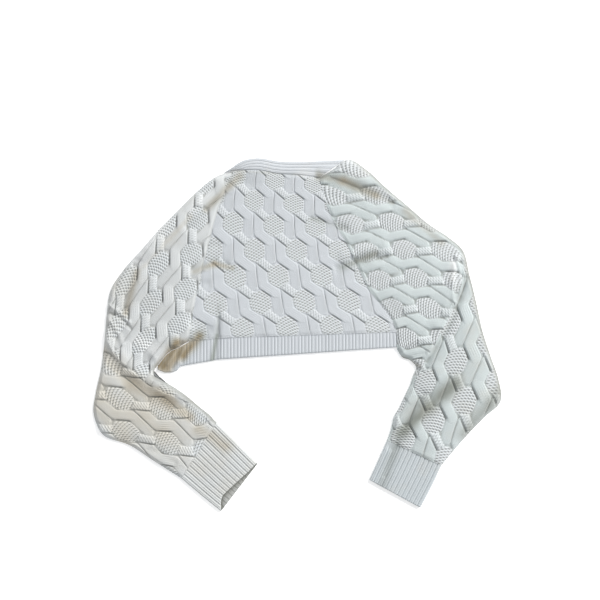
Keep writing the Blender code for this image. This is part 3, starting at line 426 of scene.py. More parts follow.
# The way that the sides with the most painted shade face: towards the light.
LIT_SIDE_FACING = (0.95, 0.45)
EDGE_SHADE_REACH = 8.0  # and how far in
PLAIN_SHADE = 0.1  # how much painted shade the plain hidden faces get
SHARP_ANGLE = math.radians(70)
EDGE_CROWDING = 0.3  # how much closer together a tube's columns are at its sides
BAND_CROWDING = 0.8  # and the neck band's rows at its edges
SURFACE_CLEARANCE = 0.3  # the floor lies this far under the garment
INSIDE_MARGIN = 0.001  # the inner faces stop this share of the length from the ends
CUFF_EXTRA = 0.2  # how much higher a cuff's ribs are than its solid's
MOUTH_ROUND = 1.4  # how far a cuff's mouth is rounded
HEM_DEPTH = 34.0  # how wide the hem band is, on average
HEM_UNDER_STEPS = 240  # columns in either stretch of the hem band's lower layer
HEM_RIB_LIFTS = ((0.0, 0.12, 0.5, 0.9, 1.0), (0.5, 1.0, 1.0, 0.9, 0.45))  # by shares of its depth
HEM_RIM = 6.0  # the higher, the nearer to its edges its lower layer's relief starts
FOLD_ENDS = 1.5  # how much faster a fold fades beyond its ends than beside it
GROOVE_FADES = (0.25, 0.12)  # shares of a groove over which it starts and ends
# How many points stand for a line where the distance from it is measured.
SIDE_POINTS = 90
SEAM_POINTS = 50
END_POINTS = 41
MOUTH_POINTS = 40
FRONT_POINTS = 30
LIP_POINTS = 60
HEM_POINTS = 200
SEED_BUMP = 0.35  # how much more the shading raises the seeds
SEED_SHADE = 1.1  # how much painted shade the gaps between the moss's seeds get
SEED_SHARPNESS = 1.5  # the higher, the narrower those gaps look
BEAD_LIGHT = 0.45  # how much painted highlight the seeds' tops get
GROOVE_SHADE = 0.6  # how much painted shade the grooves get
HOLLOW_SHADE = 0.12  # how much painted shade the deepest creases get
STITCH_GAP_SHADE = 0.2  # how much painted shade the gaps between plain stitches get
LEG_SLOPE = 2.2  # how steeply a stitch's legs climb
LEG_ROUNDNESS = 0.6  # the lower, the rounder they are
LOOP_SHARE = 0.6  # share of their height that changes along them
MOSS_STITCHES = (0.5, 0.2)  # how high the moss's stitches are beside plain ones, and how much more
FUZZ = (900.0, 2.0)  # the yarn's roughness: its scale and detail
MOTTLE = (26.0, 3.0)  # its mottling
MOTTLE_CONTRAST = 1.2


# ---- names of the slots, the masks and the colours ----
class Slot(Enum):
    """The record's material slots."""

    CABLE = "cable_knit"
    RIB = "rib_knit"


# Masks on the points: painted shade in grooves, along lit sides and inside (groove); the moss's share
# (moss); painted shade in creases (hollow); the tints' painted shade and light (shade); and warmth.
SHADES = ("groove", "moss", "hollow", "shade", "warmth")
# The finish's colours: the creases' and the deep one are painted shade, the seeds' tops take a painted
# highlight, and the moss's yarn carries painted shade of its texture.
TONES = ("Yarn", "Warm", "Cool Crease", "Warm Crease", "Deep", "Moss Shaded Yarn", "Bead")
MASKS = ("Shade", "Warmth", "Hollow", "Groove", "Relief", "Moss", "Seed")


# ---- lines and grids ----
def smooth(value: Floats) -> Floats:
    """Run from 0 to 1 without a corner, as value does."""
    value = np.clip(value, 0.0, 1.0)
    return value * value * (3.0 - 2.0 * value)


class Curve:
    """A smooth line through its knots, from 0 at the first to 1 at the last."""

    def __init__(self, knots: Sequence[Sequence[float]]) -> None:
        """Fit the line.

        Args:
            knots: The places that it runs through.
        """
        self.points = np.asarray(knots, dtype=float)
        steps = np.linalg.norm(np.diff(self.points, axis=0), axis=1)
        self.length = float(steps.sum())
        self.knots = np.concatenate(([0.0], np.cumsum(steps))) / self.length
        spans = np.diff(self.knots)[:, None]
        slopes = np.diff(self.points, axis=0) / spans
        inner = (slopes[:-1] * spans[1:] + slopes[1:] * spans[:-1]) / (spans[1:] + spans[:-1])
        self.slopes = np.vstack((slopes[:1], inner, slopes[-1:]))

    def at(self, place: Floats) -> Floats:
        """Give the points at these places along the line.

        Args:
            place: Shares of its length, from 0 to 1.

        Returns:
            The points, one a place.
        """
        place = np.clip(np.asarray(place, dtype=float), 0.0, 1.0)
        index = np.clip(np.searchsorted(self.knots, place, side="right") - 1, 0, len(self.knots) - 2)
        span = (self.knots[index + 1] - self.knots[index])[..., None]
        part = (place - self.knots[index])[..., None] / span
        start = self.points[index]
        end = self.points[index + 1]
        leave = self.slopes[index] * span
        arrive = self.slopes[index + 1] * span
        return (
            start * (2 * part**3 - 3 * part**2 + 1)
            + leave * (part**3 - 2 * part**2 + part)
            + end * (3 * part**2 - 2 * part**3)
            + arrive * (part**3 - part**2)
        )


def sleeve_plan(
    sections: Sequence[Section], places: Floats, across: Floats, seam: Curve | None = None
) -> Floats:
    """Lay the lines of a sleeve side by side; the first one bends along its raglan seam.

    Args:
        sections: The lines across the sleeve that it is known at.
        places: Where the lines lie, as shares of the sleeve's length.
        across: Shares of each line, one row for all or one a place.
        seam: The raglan seam, if the sleeve starts at one.

    Returns:
        Points in rows and columns.
    """
    lines = Curve(sections).at(places)
    if across.ndim == 1:
        across = np.broadcast_to(across, (len(places), len(across)))
    share = across[:, :, None]
    plan = lines[:, None, :2] * (1 - share) + lines[:, None, 2:] * share
    if seam is not None:
        first = np.asarray(sections[0])
        straight = first[:2] * (1 - share) + first[2:] * share
        fade = (1.0 - smooth(places / RAGLAN_REACH))[:, None, None]
        plan = plan + (seam.at(across) - straight) * fade
    return plan


def edge_spread(count: int, crowding: float) -> Floats:
    """Spread this many columns from 0 to 1, closer together at both ends."""
    even = np.linspace(0.0, 1.0, count + 1)
    return even - crowding * np.sin(2.0 * math.pi * even) / (2.0 * math.pi)


def edge_gaps(plan: Floats) -> Floats:
    """Measure how far each point lies from the nearer side edge, along its row.

    Args:
        plan: Points in rows and columns.

    Returns:
        The distances.
    """
    steps = np.linalg.norm(np.diff(plan, axis=1), axis=2)
    run = np.concatenate((np.zeros((len(plan), 1)), np.cumsum(steps, axis=1)), axis=1)
    return np.minimum(run, run[:, -1:] - run)


def draw_in(plan: Floats, gap: float) -> Floats:
    """Draw the four edges of a plan in by this gap.

    Args:
        plan: Points in rows and columns.
        gap: How far the edges move, in millimetres.

    Returns:
        The new plan.
    """
    plan = plan.copy()
    for edge, inner in ((0, 1), (-1, -2)):
        for line in (plan, plan.transpose(1, 0, 2)):
            away = line[:, inner] - line[:, edge]
            line[:, edge] += gap * away / np.linalg.norm(away, axis=1, keepdims=True)
    return plan


def to_line(x: Floats, y: Floats, start: Corner, end: Corner) -> tuple[Floats, Floats]:
    """Measure the distance to a straight line, and how far along it the nearest point is.

    Args:
        x: The points' places across.
        y: And along.
        start: Where the line starts.
        end: Where it ends.

    Returns:
        The distances, and the shares of the line.
    """
    run_x = end[0] - start[0]
    run_y = end[1] - start[1]
    along = ((x - start[0]) * run_x + (y - start[1]) * run_y) / (run_x**2 + run_y**2)
    along = np.clip(along, 0.0, 1.0)
    return np.hypot(x - start[0] - along * run_x, y - start[1] - along * run_y), along


def to_polyline(plan: Floats, line: Sequence[Corner] | Floats) -> Floats:
    """Measure the distance to the nearest of a line's straight pieces.

    Args:
        plan: The points' places.
        line: The line's corners.

    Returns:
        The distances.
    """
    x, y = np.moveaxis(plan, -1, 0)
    nearest = np.full(x.shape, np.inf)
    for start, end in zip(line[:-1], line[1:]):
        nearest = np.minimum(nearest, to_line(x, y, start, end)[0])
    return nearest


def thinned(line: Floats, count: int) -> Floats:
    """Keep about this many points of a line, its two ends among them."""
    return line[np.linspace(0, len(line) - 1, min(count, len(line))).round().astype(int)]


def blurred(field: Floats, reach: float) -> Floats:
    """Blur a grid of numbers softly, over this many rows and columns.

    Args:
        field: Numbers in rows and columns.
        reach: The blur's spread, in rows and columns.

    Returns:
        The blurred grid.
    """
    span = int(math.ceil(3.0 * reach))
    weights = np.exp(-0.5 * (np.arange(-span, span + 1) / reach) ** 2)
    weights /= weights.sum()
    for axis in (0, 1):
        padding = [(0, 0), (0, 0)]
        padding[axis] = (span, span)
        padded = np.pad(field, padding, mode="edge")
        field = np.apply_along_axis(np.convolve, axis, padded, weights, "valid")
    return field


# ---- heights ----
def folds_at(plan: Floats) -> Floats:
    """Add up the folds at some points.

    Args:
        plan: Their places on the laid garment.

    Returns:
        The heights, in millimetres.
    """
    x, y = np.moveaxis(plan, -1, 0)
    total = np.zeros_like(x)
    for fold in FOLDS:
        run_x = fold.end_x - fold.start_x
        run_y = fold.end_y - fold.start_y
        length = math.hypot(run_x, run_y)
        along = ((x - fold.start_x) * run_x + (y - fold.start_y) * run_y) / length
        aside = ((y - fold.start_y) * run_x - (x - fold.start_x) * run_y) / length
        share = np.clip(along / length, 0.0, 1.0)
        aside = aside - 4.0 * fold.bow * share * (1.0 - share)
        beyond = np.maximum(np.maximum(-along, along - length), 0.0)
        distance = (aside**2 + (FOLD_ENDS * beyond) ** 2) / fold.width**2
        total += fold.rise * np.exp(-distance)
    return total


def painted_shading_at(plan: Floats) -> tuple[Floats, Floats]:
    """Add up the tints' painted shade and light at some points.

    Args:
        plan: Their places on the laid garment.

    Returns:
        How much painted shade each has, painted light where it is negative, and how warm, from -1 to 1.
    """
    x, y = np.moveaxis(plan, -1, 0)
    shade = np.zeros_like(x)
    light = np.zeros_like(x)
    warmth = np.zeros_like(x)
    for tint in PAINTED_SHADING:
        distance, _ = to_line(x, y, (tint.start_x, tint.start_y), (tint.end_x, tint.end_y))
        near = np.exp(-((distance / tint.width) ** 2))
        shade = np.maximum(shade, tint.shade * near)
        light = np.maximum(light, -tint.shade * near)
        warmth += tint.warmth * near
    return shade - light, np.clip(warmth, -1.0, 1.0)


def seam_share(to_seam: Floats, least: float) -> Floats:
    """Give the share of a pattern's height that is left beside a seam, least at the seam itself."""
    return least + (1.0 - least) * smooth(to_seam / SEAM_REACH)


def rib_height(share: Floats, ribs: float, height: float) -> Floats:
    """Give the height of ribs of two wales, with a deep furrow beside each and a soft one within.

    Args:
        share: Places across the ribs, from 0 to 1.
        ribs: How many ribs there are.
        height: How high they stand.

    Returns:
        The heights.
    """
    place = share * ribs
    single = 0.5 - 0.5 * np.cos(2.0 * math.pi * place)
    double = 0.5 - 0.5 * np.cos(4.0 * math.pi * place)
    return height * (RIB_BODY * np.sqrt(single) + (1.0 - RIB_BODY) * double)


def rounded(distance: Floats, radius: float) -> Floats:
    """Rise from 0 at a rounded edge to 1 at this radius from it."""
    return np.sqrt(1.0 - (1.0 - np.clip(distance / radius, 0.0, 1.0)) ** 2)


# ---- the knit pattern ----
class Part(Protocol):
    """A form of the pattern that has its own height and its own stitches."""

    moss: float
    offset: float

    def height_at(self, x: Floats, y: Floats) -> Floats:
        """Give its height at places in millimetres from its repeat's origin."""

    def back_at(self, x: Floats, y: Floats) -> Floats:
        """Tell how near the middle of its round back they are, from 0 to 1."""

    def stitches_at(self, x: Floats, y: Floats) -> tuple[Floats, Floats]:
        """Count its stitches across and along at those places."""


@dataclass(frozen=True)
class Strand:
    """A smooth strip or a moss bar, from its start to its end."""

    start: Corner
    end: Corner
    half_width: float
    near: float
    far: float
    edges: tuple[int, int] = STRIP_EDGES
    rise: float = 0.0
    ripple: float = 0.0
    moss: float = 0.0
    offset: float = 0.0

    def measure(self, x: Floats, y: Floats) -> tuple[Floats, Floats]:
        """Measure how far aside of the strand's line places are, and how far along it.

        Args:
            x: Places across, in millimetres from the repeat's origin.
            y: And along.

        Returns:
            The distances aside and along.
        """
        run_x = self.end[0] - self.start[0]
        run_y = self.end[1] - self.start[1]
        length = math.hypot(run_x, run_y)
        away_x = x - self.start[0]
        away_y = y - self.start[1]
        return (away_x * run_y - away_y * run_x) / length, (away_x * run_x + away_y * run_y) / length

    def height_at(self, x: Floats, y: Floats) -> Floats:
        """Give the strand's height: steep on its near side, to the left and below, soft on the far one.

        Args:
            x: Places across, in millimetres from the repeat's origin.
            y: And along.

        Returns:
            The heights, none below 0.
        """
        distance, place = to_line(x, y, self.start, self.end)
        aside, _ = self.measure(x, y)
        side = np.clip(aside / self.half_width, -1.0, 1.0)
        full = self.near + (self.far - self.near) * (0.5 + 0.5 * side)
        ripple = self.ripple * np.cos(2.0 * math.pi * aside / WALE)
        full = full + (self.rise + ripple) * np.sin(math.pi * place)
        reach = distance / self.half_width
        near, far = (np.maximum(1.0 - reach**edge, 0.0) for edge in self.edges)
        return full * np.where(side < 0.0, near, far)

    def back_at(self, x: Floats, y: Floats) -> Floats:
        """Tell how near the middle of the strand's round back a place is, 1 on it."""
        distance, _ = to_line(x, y, self.start, self.end)
        return np.maximum(1.0 - (distance / self.half_width) ** 2, 0.0)

    def stitches_at(self, x: Floats, y: Floats) -> tuple[Floats, Floats]:
        """Count the strand's wales and rows."""
        aside, along = self.measure(x, y)
        return aside / WALE, along / ROW


@dataclass(frozen=True)
class Hexagon:
    """The moss field that two pairs of strips leave between them."""

    height: float = HEXAGON_HEIGHT
    rim: float = HEXAGON_RIM
    moss: float = 1.0
    offset: float = 0.5

    def reach_at(self, x: Floats, y: Floats) -> Floats:
        """Measure how far from the hexagon's middle a place is, 1 on its outline.

        Args:
            x: Places across, in millimetres from its middle.
            y: And along.

        Returns:
            The distances, as shares of the outline's.
        """
        slant = np.abs(SLANT_NORMAL[0] * x + SLANT_NORMAL[1] * y) / HEXAGON_SLANT_REACH
        tie = np.abs(TIE_NORMAL[0] * x + TIE_NORMAL[1] * y) / HEXAGON_TIE_REACH
        sides = (np.abs(x) / HEXAGON_HALF_WIDTH, slant, tie)
        return sum(side**HEXAGON_ROUNDING for side in sides) ** (1.0 / HEXAGON_ROUNDING)

    def height_at(self, x: Floats, y: Floats) -> Floats:
        """Give the hexagon's domed height.

        Args:
            x: Places across, in millimetres from its middle.
            y: And along.

        Returns:
            The heights, 0 outside it.
        """
        reach = self.reach_at(x, y)
        inside = np.clip((1.0 - reach) / self.rim, 0.0, 1.0)
        return np.where(reach < 1.0, self.height - HEXAGON_DOME * (1.0 - inside) ** 2, 0.0)

    def back_at(self, x: Floats, y: Floats) -> Floats:
        """Tell how near the hexagon's middle a place is, 1 on it."""
        return np.maximum(1.0 - self.reach_at(x, y) ** 2, 0.0)

    def stitches_at(self, x: Floats, y: Floats) -> tuple[Floats, Floats]:
        """Count the moss's wales and rows from the hexagon's middle; the rows bow upwards."""
        return x / WALE, (y - SEED_BOW * x * x) / ROW


def seeds_at(wales: Floats, rows: Floats) -> Floats:
    """Tell how high in the moss's seeds stitches lie, from -1 between them to 1 on their tops."""
    across, along = SEED_PHASES[0] * wales, SEED_PHASES[1] * rows
    return SEED_LEAN * np.cos(across + along) + (1.0 - SEED_LEAN) * np.cos(across - along)


def turned(
    part: Part, x: Floats, y: Floats, turn: Floats, seeds: Corner
) -> tuple[Floats, Floats]:
    """Count a form's stitches, where the seeds of moss start anew in every repeat.

    Args:
        part: The form.
        x: Places across, in millimetres from the repeat's origin.
        y: And along.
        turn: A number of the repeat's own.
        seeds: How many seeds there are across and along, beside the back's.

    Returns:
        Wales across and rows along.
    """
    if part.moss == 0.0:
        return part.stitches_at(x, y)
    wales, rows = part.stitches_at(
        x + SEED_ACROSS * np.sin(turn), y + SEED_ALONG * np.cos(2.0 * turn)
    )
    return seeds[0] * wales, seeds[1] * rows


def pattern_parts() -> tuple[Part, ...]:
    """List the forms in one repeat: a bar, the strips beside a furrow, and the hexagon last."""
    parts: list[Part] = [
        Strand(
            BAR_FROM, BAR_TO, BAR_HALF_WIDTH, *BAR_HEIGHTS, BAR_EDGES,
            rise=BAR_RISE, moss=BAR_SEEDS, offset=0.5,
        ),
    ]
    for side, heights in ((1.0, RIGHT_STRIP_HEIGHTS), (-1.0, LEFT_STRIP_HEIGHTS)):
        top = (side * STRIP_MIDDLE, -STRIP_STRAIGHT)
        turn = (side * STRIP_MIDDLE, STRIP_STRAIGHT)
        parts.append(Strand(top, turn, STRIP_HALF_WIDTH, *heights))
    start = (STRIP_MIDDLE, STRIP_STRAIGHT)
    parts.append(
        Strand(
            start, STRIP_NEXT, STRIP_HALF_WIDTH, *CROSSING_HEIGHTS, CROSSING_EDGES,
            rise=CROSSING_RISE, ripple=CROSSING_RIPPLE,
        )
    )
    parts.append(Hexagon())
    return tuple(parts)


class Knit(NamedTuple):
    """What the pattern gives at some places, and the number of the form that stands highest."""

    height: Floats
    moss: Floats
    seed: Floats
    # how much painted shade its grooves and furrows get
    groove: Floats
    back: Floats
    form: Numbers

    def sunk(self) -> Floats:
        """Tell how far below the hexagons' height the cloth lies, from 0 to 1."""
        return np.clip(1.0 - self.height / HEXAGON_HEIGHT, 0.0, 1.0)


class KnitPattern:
    """The half-dropped pattern of hexagons, bars and strips."""

    def __init__(self, seeds: Corner) -> None:
        """List the pattern's forms, for both of its drops; the last ones cover the others.

        Args:
            seeds: How many seeds its moss has across and along, beside the back's.
        """
        self.seeds = seeds
        self.forms = [(drop, part) for part in pattern_parts() for drop in (0.0, 0.5)]

    def origin(
        self, across: Floats, along: Floats, drop: float, offset: float
    ) -> tuple[Floats, Floats]:
        """Give the nearest repeat's origin, where its line is dropped and its form offset so far."""
        return np.round(across + offset - drop) - offset + drop, np.round(along - drop) + drop

    def at(self, across: Floats, along: Floats) -> Knit:
        """Give the pattern's height and forms.

        Args:
            across: Places across, in repeats from a furrow's middle.
            along: And along.

        Returns:
            What the pattern gives there.
        """
        height = np.full_like(across, PATTERN_FLOOR)
        form = np.zeros(across.shape, dtype=int)
        moss = np.zeros_like(across)
        seed = np.zeros_like(across)
        back = np.zeros_like(across)
        trough = np.zeros_like(across)
        groove = np.zeros_like(across)
        for number, (drop, part) in enumerate(self.forms):
            from_across, from_along = self.origin(across, along, drop, part.offset)
            x = (across - from_across) * REPEAT_ACROSS
            y = (along - from_along) * REPEAT_ALONG
            here = part.height_at(x, y)
            wins = here > (0.0 if isinstance(part, Hexagon) else height)
            height = np.where(wins, here, height)
            form = np.where(wins, number, form)
            moss = np.where(wins, part.moss, moss)
            back = np.where(wins, part.back_at(x, y), back)
            turn = SEED_TURNS[0] * from_across + SEED_TURNS[1] * from_along
            wales, rows = turned(part, x, y, turn, self.seeds)
            seed = np.where(wins, part.moss * seeds_at(wales, rows), seed)
            # The grooves beside a hexagon get painted shade as well as depth.
            if isinstance(part, Hexagon):
                share = self.groove_share(x, y, GROOVES, GROOVE_WIDTH)
                trough = np.maximum(trough, GROOVE_DEPTH * share)
                groove = np.maximum(groove, share)
        for drop in (0.0, 0.5):
            from_across, from_along = self.origin(across, along, drop, 0.0)
            x = (across - from_across) * REPEAT_ACROSS
            y = (along - from_along) * REPEAT_ALONG
            # The furrows get painted shade, and so does the strip to their left.
            share = self.groove_share(x, y, FURROWS, FURROW_WIDTH)
            trough = np.maximum(trough, FURROW_DEPTH * share)
            beside = self.groove_share(x + FURROW_BESIDE, y, FURROWS, 2.0 * FURROW_BESIDE)
            groove = np.maximum(groove, np.maximum(FURROW_SHADE * share, BESIDE_SHADE * beside))
        return Knit(height + SEED_RISE * seed - trough, moss, seed, groove, back, form)

    def groove_share(
        self, x: Floats, y: Floats, lines: Sequence[tuple[Corner, Corner]], width: float
    ) -> Floats:
        """Tell how deep in grooves along some lines places are; the grooves fade at both ends.

        Args:
            x: Places across, in millimetres from the repeat's origin.
            y: And along.
            lines: Where the grooves run.
            width: How wide they are.

        Returns:
            Shares of the grooves' depth.
        """
        deepest = np.zeros_like(x)
        for start, end in lines:
            distance, place = to_line(x, y, start, end)
            share = smooth(place / GROOVE_FADES[0]) * smooth((1.0 - place) / GROOVE_FADES[1])
            deepest = np.maximum(deepest, share * np.exp(-((distance / width) ** 2)))
        return deepest

    def stitches(self, across: Floats, along: Floats) -> Floats:
        """Count the stitches at faces' corners, each face in the form that stands highest on it.

        Args:
            across: The corners' places across in repeats, a face a row.
            along: And along.

        Returns:
            Wales and rows, a face a row and a corner a column.
        """
        middle_across = across.mean(axis=1)
        middle_along = along.mean(axis=1)
        form = self.at(middle_across, middle_along).form
        counts = np.zeros((*across.shape, 2))
        for number, (drop, part) in enumerate(self.forms):
            chosen = form == number
            from_across, from_along = self.origin(
                middle_across[chosen], middle_along[chosen], drop, part.offset
            )
            x = (across[chosen] - from_across[:, None]) * REPEAT_ACROSS
            y = (along[chosen] - from_along[:, None]) * REPEAT_ALONG
            turn = (SEED_TURNS[0] * from_across + SEED_TURNS[1] * from_along)[:, None]
            counts[chosen] = np.stack(turned(part, x, y, turn, self.seeds), axis=-1)
        return counts


BACK_PATTERN = KnitPattern((1.0, 1.0))
SLEEVE_PATTERN = KnitPattern(SLEEVE_SEEDS)


@dataclass(frozen=True)
class Stitches:
    """The pattern's place on a piece, which changes direction at an elbow if it has one."""

    stretches: tuple[Bend, ...]
    elbow: Sequence[Corner] = ()
    pattern: KnitPattern = BACK_PATTERN

    def side_of(self, plan: Floats) -> NDArray[np.bool_]:
        """Tell which points lie on the cuff's side of the elbow's fold, to the right of its line.

        Args:
            plan: Their places on the laid garment.

        Returns:
            True on the cuff's side.
        """
        x, y = np.moveaxis(plan, -1, 0)
        nearest = np.full(x.shape, np.inf)
        side = np.zeros(x.shape)
        for start, end in zip(self.elbow[:-1], self.elbow[1:]):
            distance, _ = to_line(x, y, start, end)
            turn = (end[0] - start[0]) * (y - start[1]) - (end[1] - start[1]) * (x - start[0])
            closer = distance < nearest
            nearest = np.where(closer, distance, nearest)
            side = np.where(closer, turn, side)
        return side < 0.0

    def to_repeats(self, plan: Floats, beyond: NDArray[np.bool_]) -> list[Floats]:
        """Turn places on the cloth into repeats.

        Args:
            plan: Places on the laid garment.
            beyond: Which of them lie beyond the elbow.

        Returns:
            Repeats across and along.
        """
        found = []
        for bend in (self.stretches[0], self.stretches[-1]):
            u, v = np.moveaxis((plan - bend.middle) / BEND_SPAN, -1, 0)
            terms = (np.ones_like(u), u, v, u * u, u * v, v * v, u**3, u * u * v, u * v * v, v**3)
            found.append([
                sum(factor * term for factor, term in zip(factors, terms))
                for factors in (bend.across, bend.along)
            ])
        return [np.where(beyond, far, near) for near, far in zip(*found)]

    def at(self, plan: Floats) -> Knit:
        """Give the pattern at places on the piece."""
        return self.pattern.at(*self.to_repeats(plan, self.side_of(plan)))

    def counts(self, plan: Floats) -> Floats:
        """Count wales and rows at faces' corners, a face a row and a corner a column."""
        beyond = np.broadcast_to(self.side_of(plan.mean(axis=1))[:, None], plan.shape[:2])
        return self.pattern.stitches(*self.to_repeats(plan, beyond))


BACK_STITCHES = Stitches((BACK_KNIT,))
LEFT_STITCHES = Stitches((UPPER_SLEEVE_LEFT, LOWER_SLEEVE_LEFT), ELBOW_LEFT, SLEEVE_PATTERN)
RIGHT_STITCHES = Stitches((UPPER_SLEEVE_RIGHT, LOWER_SLEEVE_RIGHT), ELBOW_RIGHT, SLEEVE_PATTERN)


# ---- meshes ----
CountCorners = Callable[[Floats], Floats]


def plain_counts(plan: Floats) -> Floats:
    """Count plain stitches at faces' corners, straight up the laid garment."""
    return plan / (WALE, ROW)


def grid_corners(values: Floats | Numbers) -> Floats | Numbers:
    """Give each face of a grid, a face a row, what the grid holds at its four corners."""
    corners = (values[:-1, :-1], values[:-1, 1:], values[1:, 1:], values[1:, :-1])
    return np.stack([corner.reshape(-1, *values.shape[2:]) for corner in corners], axis=1)


class Cloth:
    """A closed mesh of cloth that is being put together, in the tables' millimetres."""

    def __init__(self) -> None:
        """Start with no points and no faces."""
        self.blocks: list[Floats] = []
        self.shades: list[Floats] = []
        self.count = 0
        self.faces: dict[int, list[Numbers]] = {4: [], 3: []}
        self.counts: dict[int, list[Floats]] = {4: [], 3: []}

    def add(
        self,
        plan: Floats,
        z: Floats | float,
        groove: Floats | float = 0.0,
        knit: Knit | None = None,
    ) -> Numbers:
        """Add points in rows and columns, or in a line.

        Args:
            plan: Their places on the laid garment.
            z: Their heights.
            groove: How much painted shade each gets, from 0 to 1: in a groove, along a lit side, inside a
                tube.
            knit: What the pattern gives there, if it has one.

        Returns:
            The points' numbers, in the plan's shape.
        """
        shape = plan.shape[:-1]
        moss = 0.0 if knit is None else knit.moss
        fields = [np.broadcast_to(field, shape).ravel() for field in (z, groove, moss)]
        flat = plan.reshape(-1, 2)
        self.blocks.append(np.column_stack((flat, fields[0])))
        self.shades.append(np.column_stack(fields[1:]))
        first = self.count
        self.count += len(flat)
        return np.arange(first, self.count).reshape(shape)

    def points(self) -> Floats:
        """Give all the points so far."""
        return np.concatenate(self.blocks)

    def close(self, faces: Numbers, count: CountCorners = plain_counts) -> None:
        """Add faces of three or four corners, a face a row, and count the stitches at them."""
        self.faces[faces.shape[1]].append(faces)
        self.counts[faces.shape[1]].append(count(self.points()[faces][..., :2]))

    def grid(self, numbers: Numbers, count: CountCorners = plain_counts) -> None:
        """Cover a grid of points, numbered in rows and columns, with faces of four corners."""
        self.close(grid_corners(numbers), count)

    def strip(self, one: Numbers, other: Numbers) -> None:
        """Join two lines of equally many points."""
        self.grid(np.stack((one, other)))

    def stitch(self, one: Numbers, other: Numbers) -> None:
        """Join two lines of unlike counts with triangles.

        Args:
            one: The numbers of the first line's points.
            other: And of the second line's, in the same direction.
        """
        faces = []
        i = 0
        j = 0
        while i < len(one) - 1 or j < len(other) - 1:
            step_one = (i + 1) / max(len(one) - 1, 1)
            step_other = (j + 1) / max(len(other) - 1, 1)
            if j == len(other) - 1 or (i < len(one) - 1 and step_one <= step_other):
                faces.append((one[i], one[i + 1], other[j]))
                i += 1
            else:
                faces.append((one[i], other[j + 1], other[j]))
                j += 1
        self.close(np.asarray(faces))

    def stitch_borders(self, upper: Numbers, lower: Numbers) -> None:
        """Join the four borders of two grids of unlike counts.

        Args:
            upper: The numbers of the upper grid's points.
            lower: And of the lower one's.
        """
        for one, other in ((upper, lower), (upper.T, lower.T)):
            for line in (0, -1):
                self.stitch(one[line], other[line])

    def make(self, name: str, shift: Floats) -> bpy.types.Object:
        """Turn the cloth into an object, in metres, with its stitches counted in a UV map.

        Args:
            name: The object's name.
            shift: What brings the tables' places to the frame.

        Returns:
            The object.
        """
        points = self.points()
        faces: list[list[int]] = []
        counts: list[Floats] = []
        for size in (4, 3):
            for block, count in zip(self.faces[size], self.counts[size]):
                faces.extend(block.tolist())
                counts.append(count.reshape(-1, 2))
        mesh = bpy.data.meshes.new(name)
        mesh.from_pydata(((points + shift) * MM).tolist(), [], faces)
        layer = mesh.uv_layers.new(name="stitches")
        layer.data.foreach_set("uv", np.concatenate(counts).astype(np.float32).ravel())
        # The shades that follow are painted shade and light on the points: in grooves, creases and tints,
        # with the tints' warmth.
        groove, moss = np.concatenate(self.shades).T
        hollow = np.clip(-folds_at(points[:, :2]) / HOLLOW_FULL, 0.0, 1.0)
        shade, warmth = painted_shading_at(points[:, :2])
        for label, values in zip(SHADES, (groove, moss, hollow, shade, warmth)):
            attribute = mesh.attributes.new(label, "FLOAT", "POINT")
            attribute.data.foreach_set("value", values.astype(np.float32))
        shape = bmesh.new()
        shape.from_mesh(mesh)
        bmesh.ops.recalc_face_normals(shape, faces=shape.faces[:])
        shape.to_mesh(mesh)
        shape.free()
        mesh.shade_smooth()
        mesh.set_sharp_from_angle(angle=SHARP_ANGLE)
        piece = bpy.data.objects.new(name, mesh)
        bpy.context.scene.collection.objects.link(piece)
        return piece


def groove_of(z: Floats) -> Floats:
    """Tell how deep each point of a grid lies below the cloth round it, from 0 to 1, which sets its
    painted shade.
    """
    near = blurred(z, GROOVE_BLUR)
    return np.clip((near - z) / GROOVE_FULL, 0.0, 1.0)


# ---- finishes ----
Colour = tuple[float, float, float, float]
Socket = bpy.types.NodeSocket


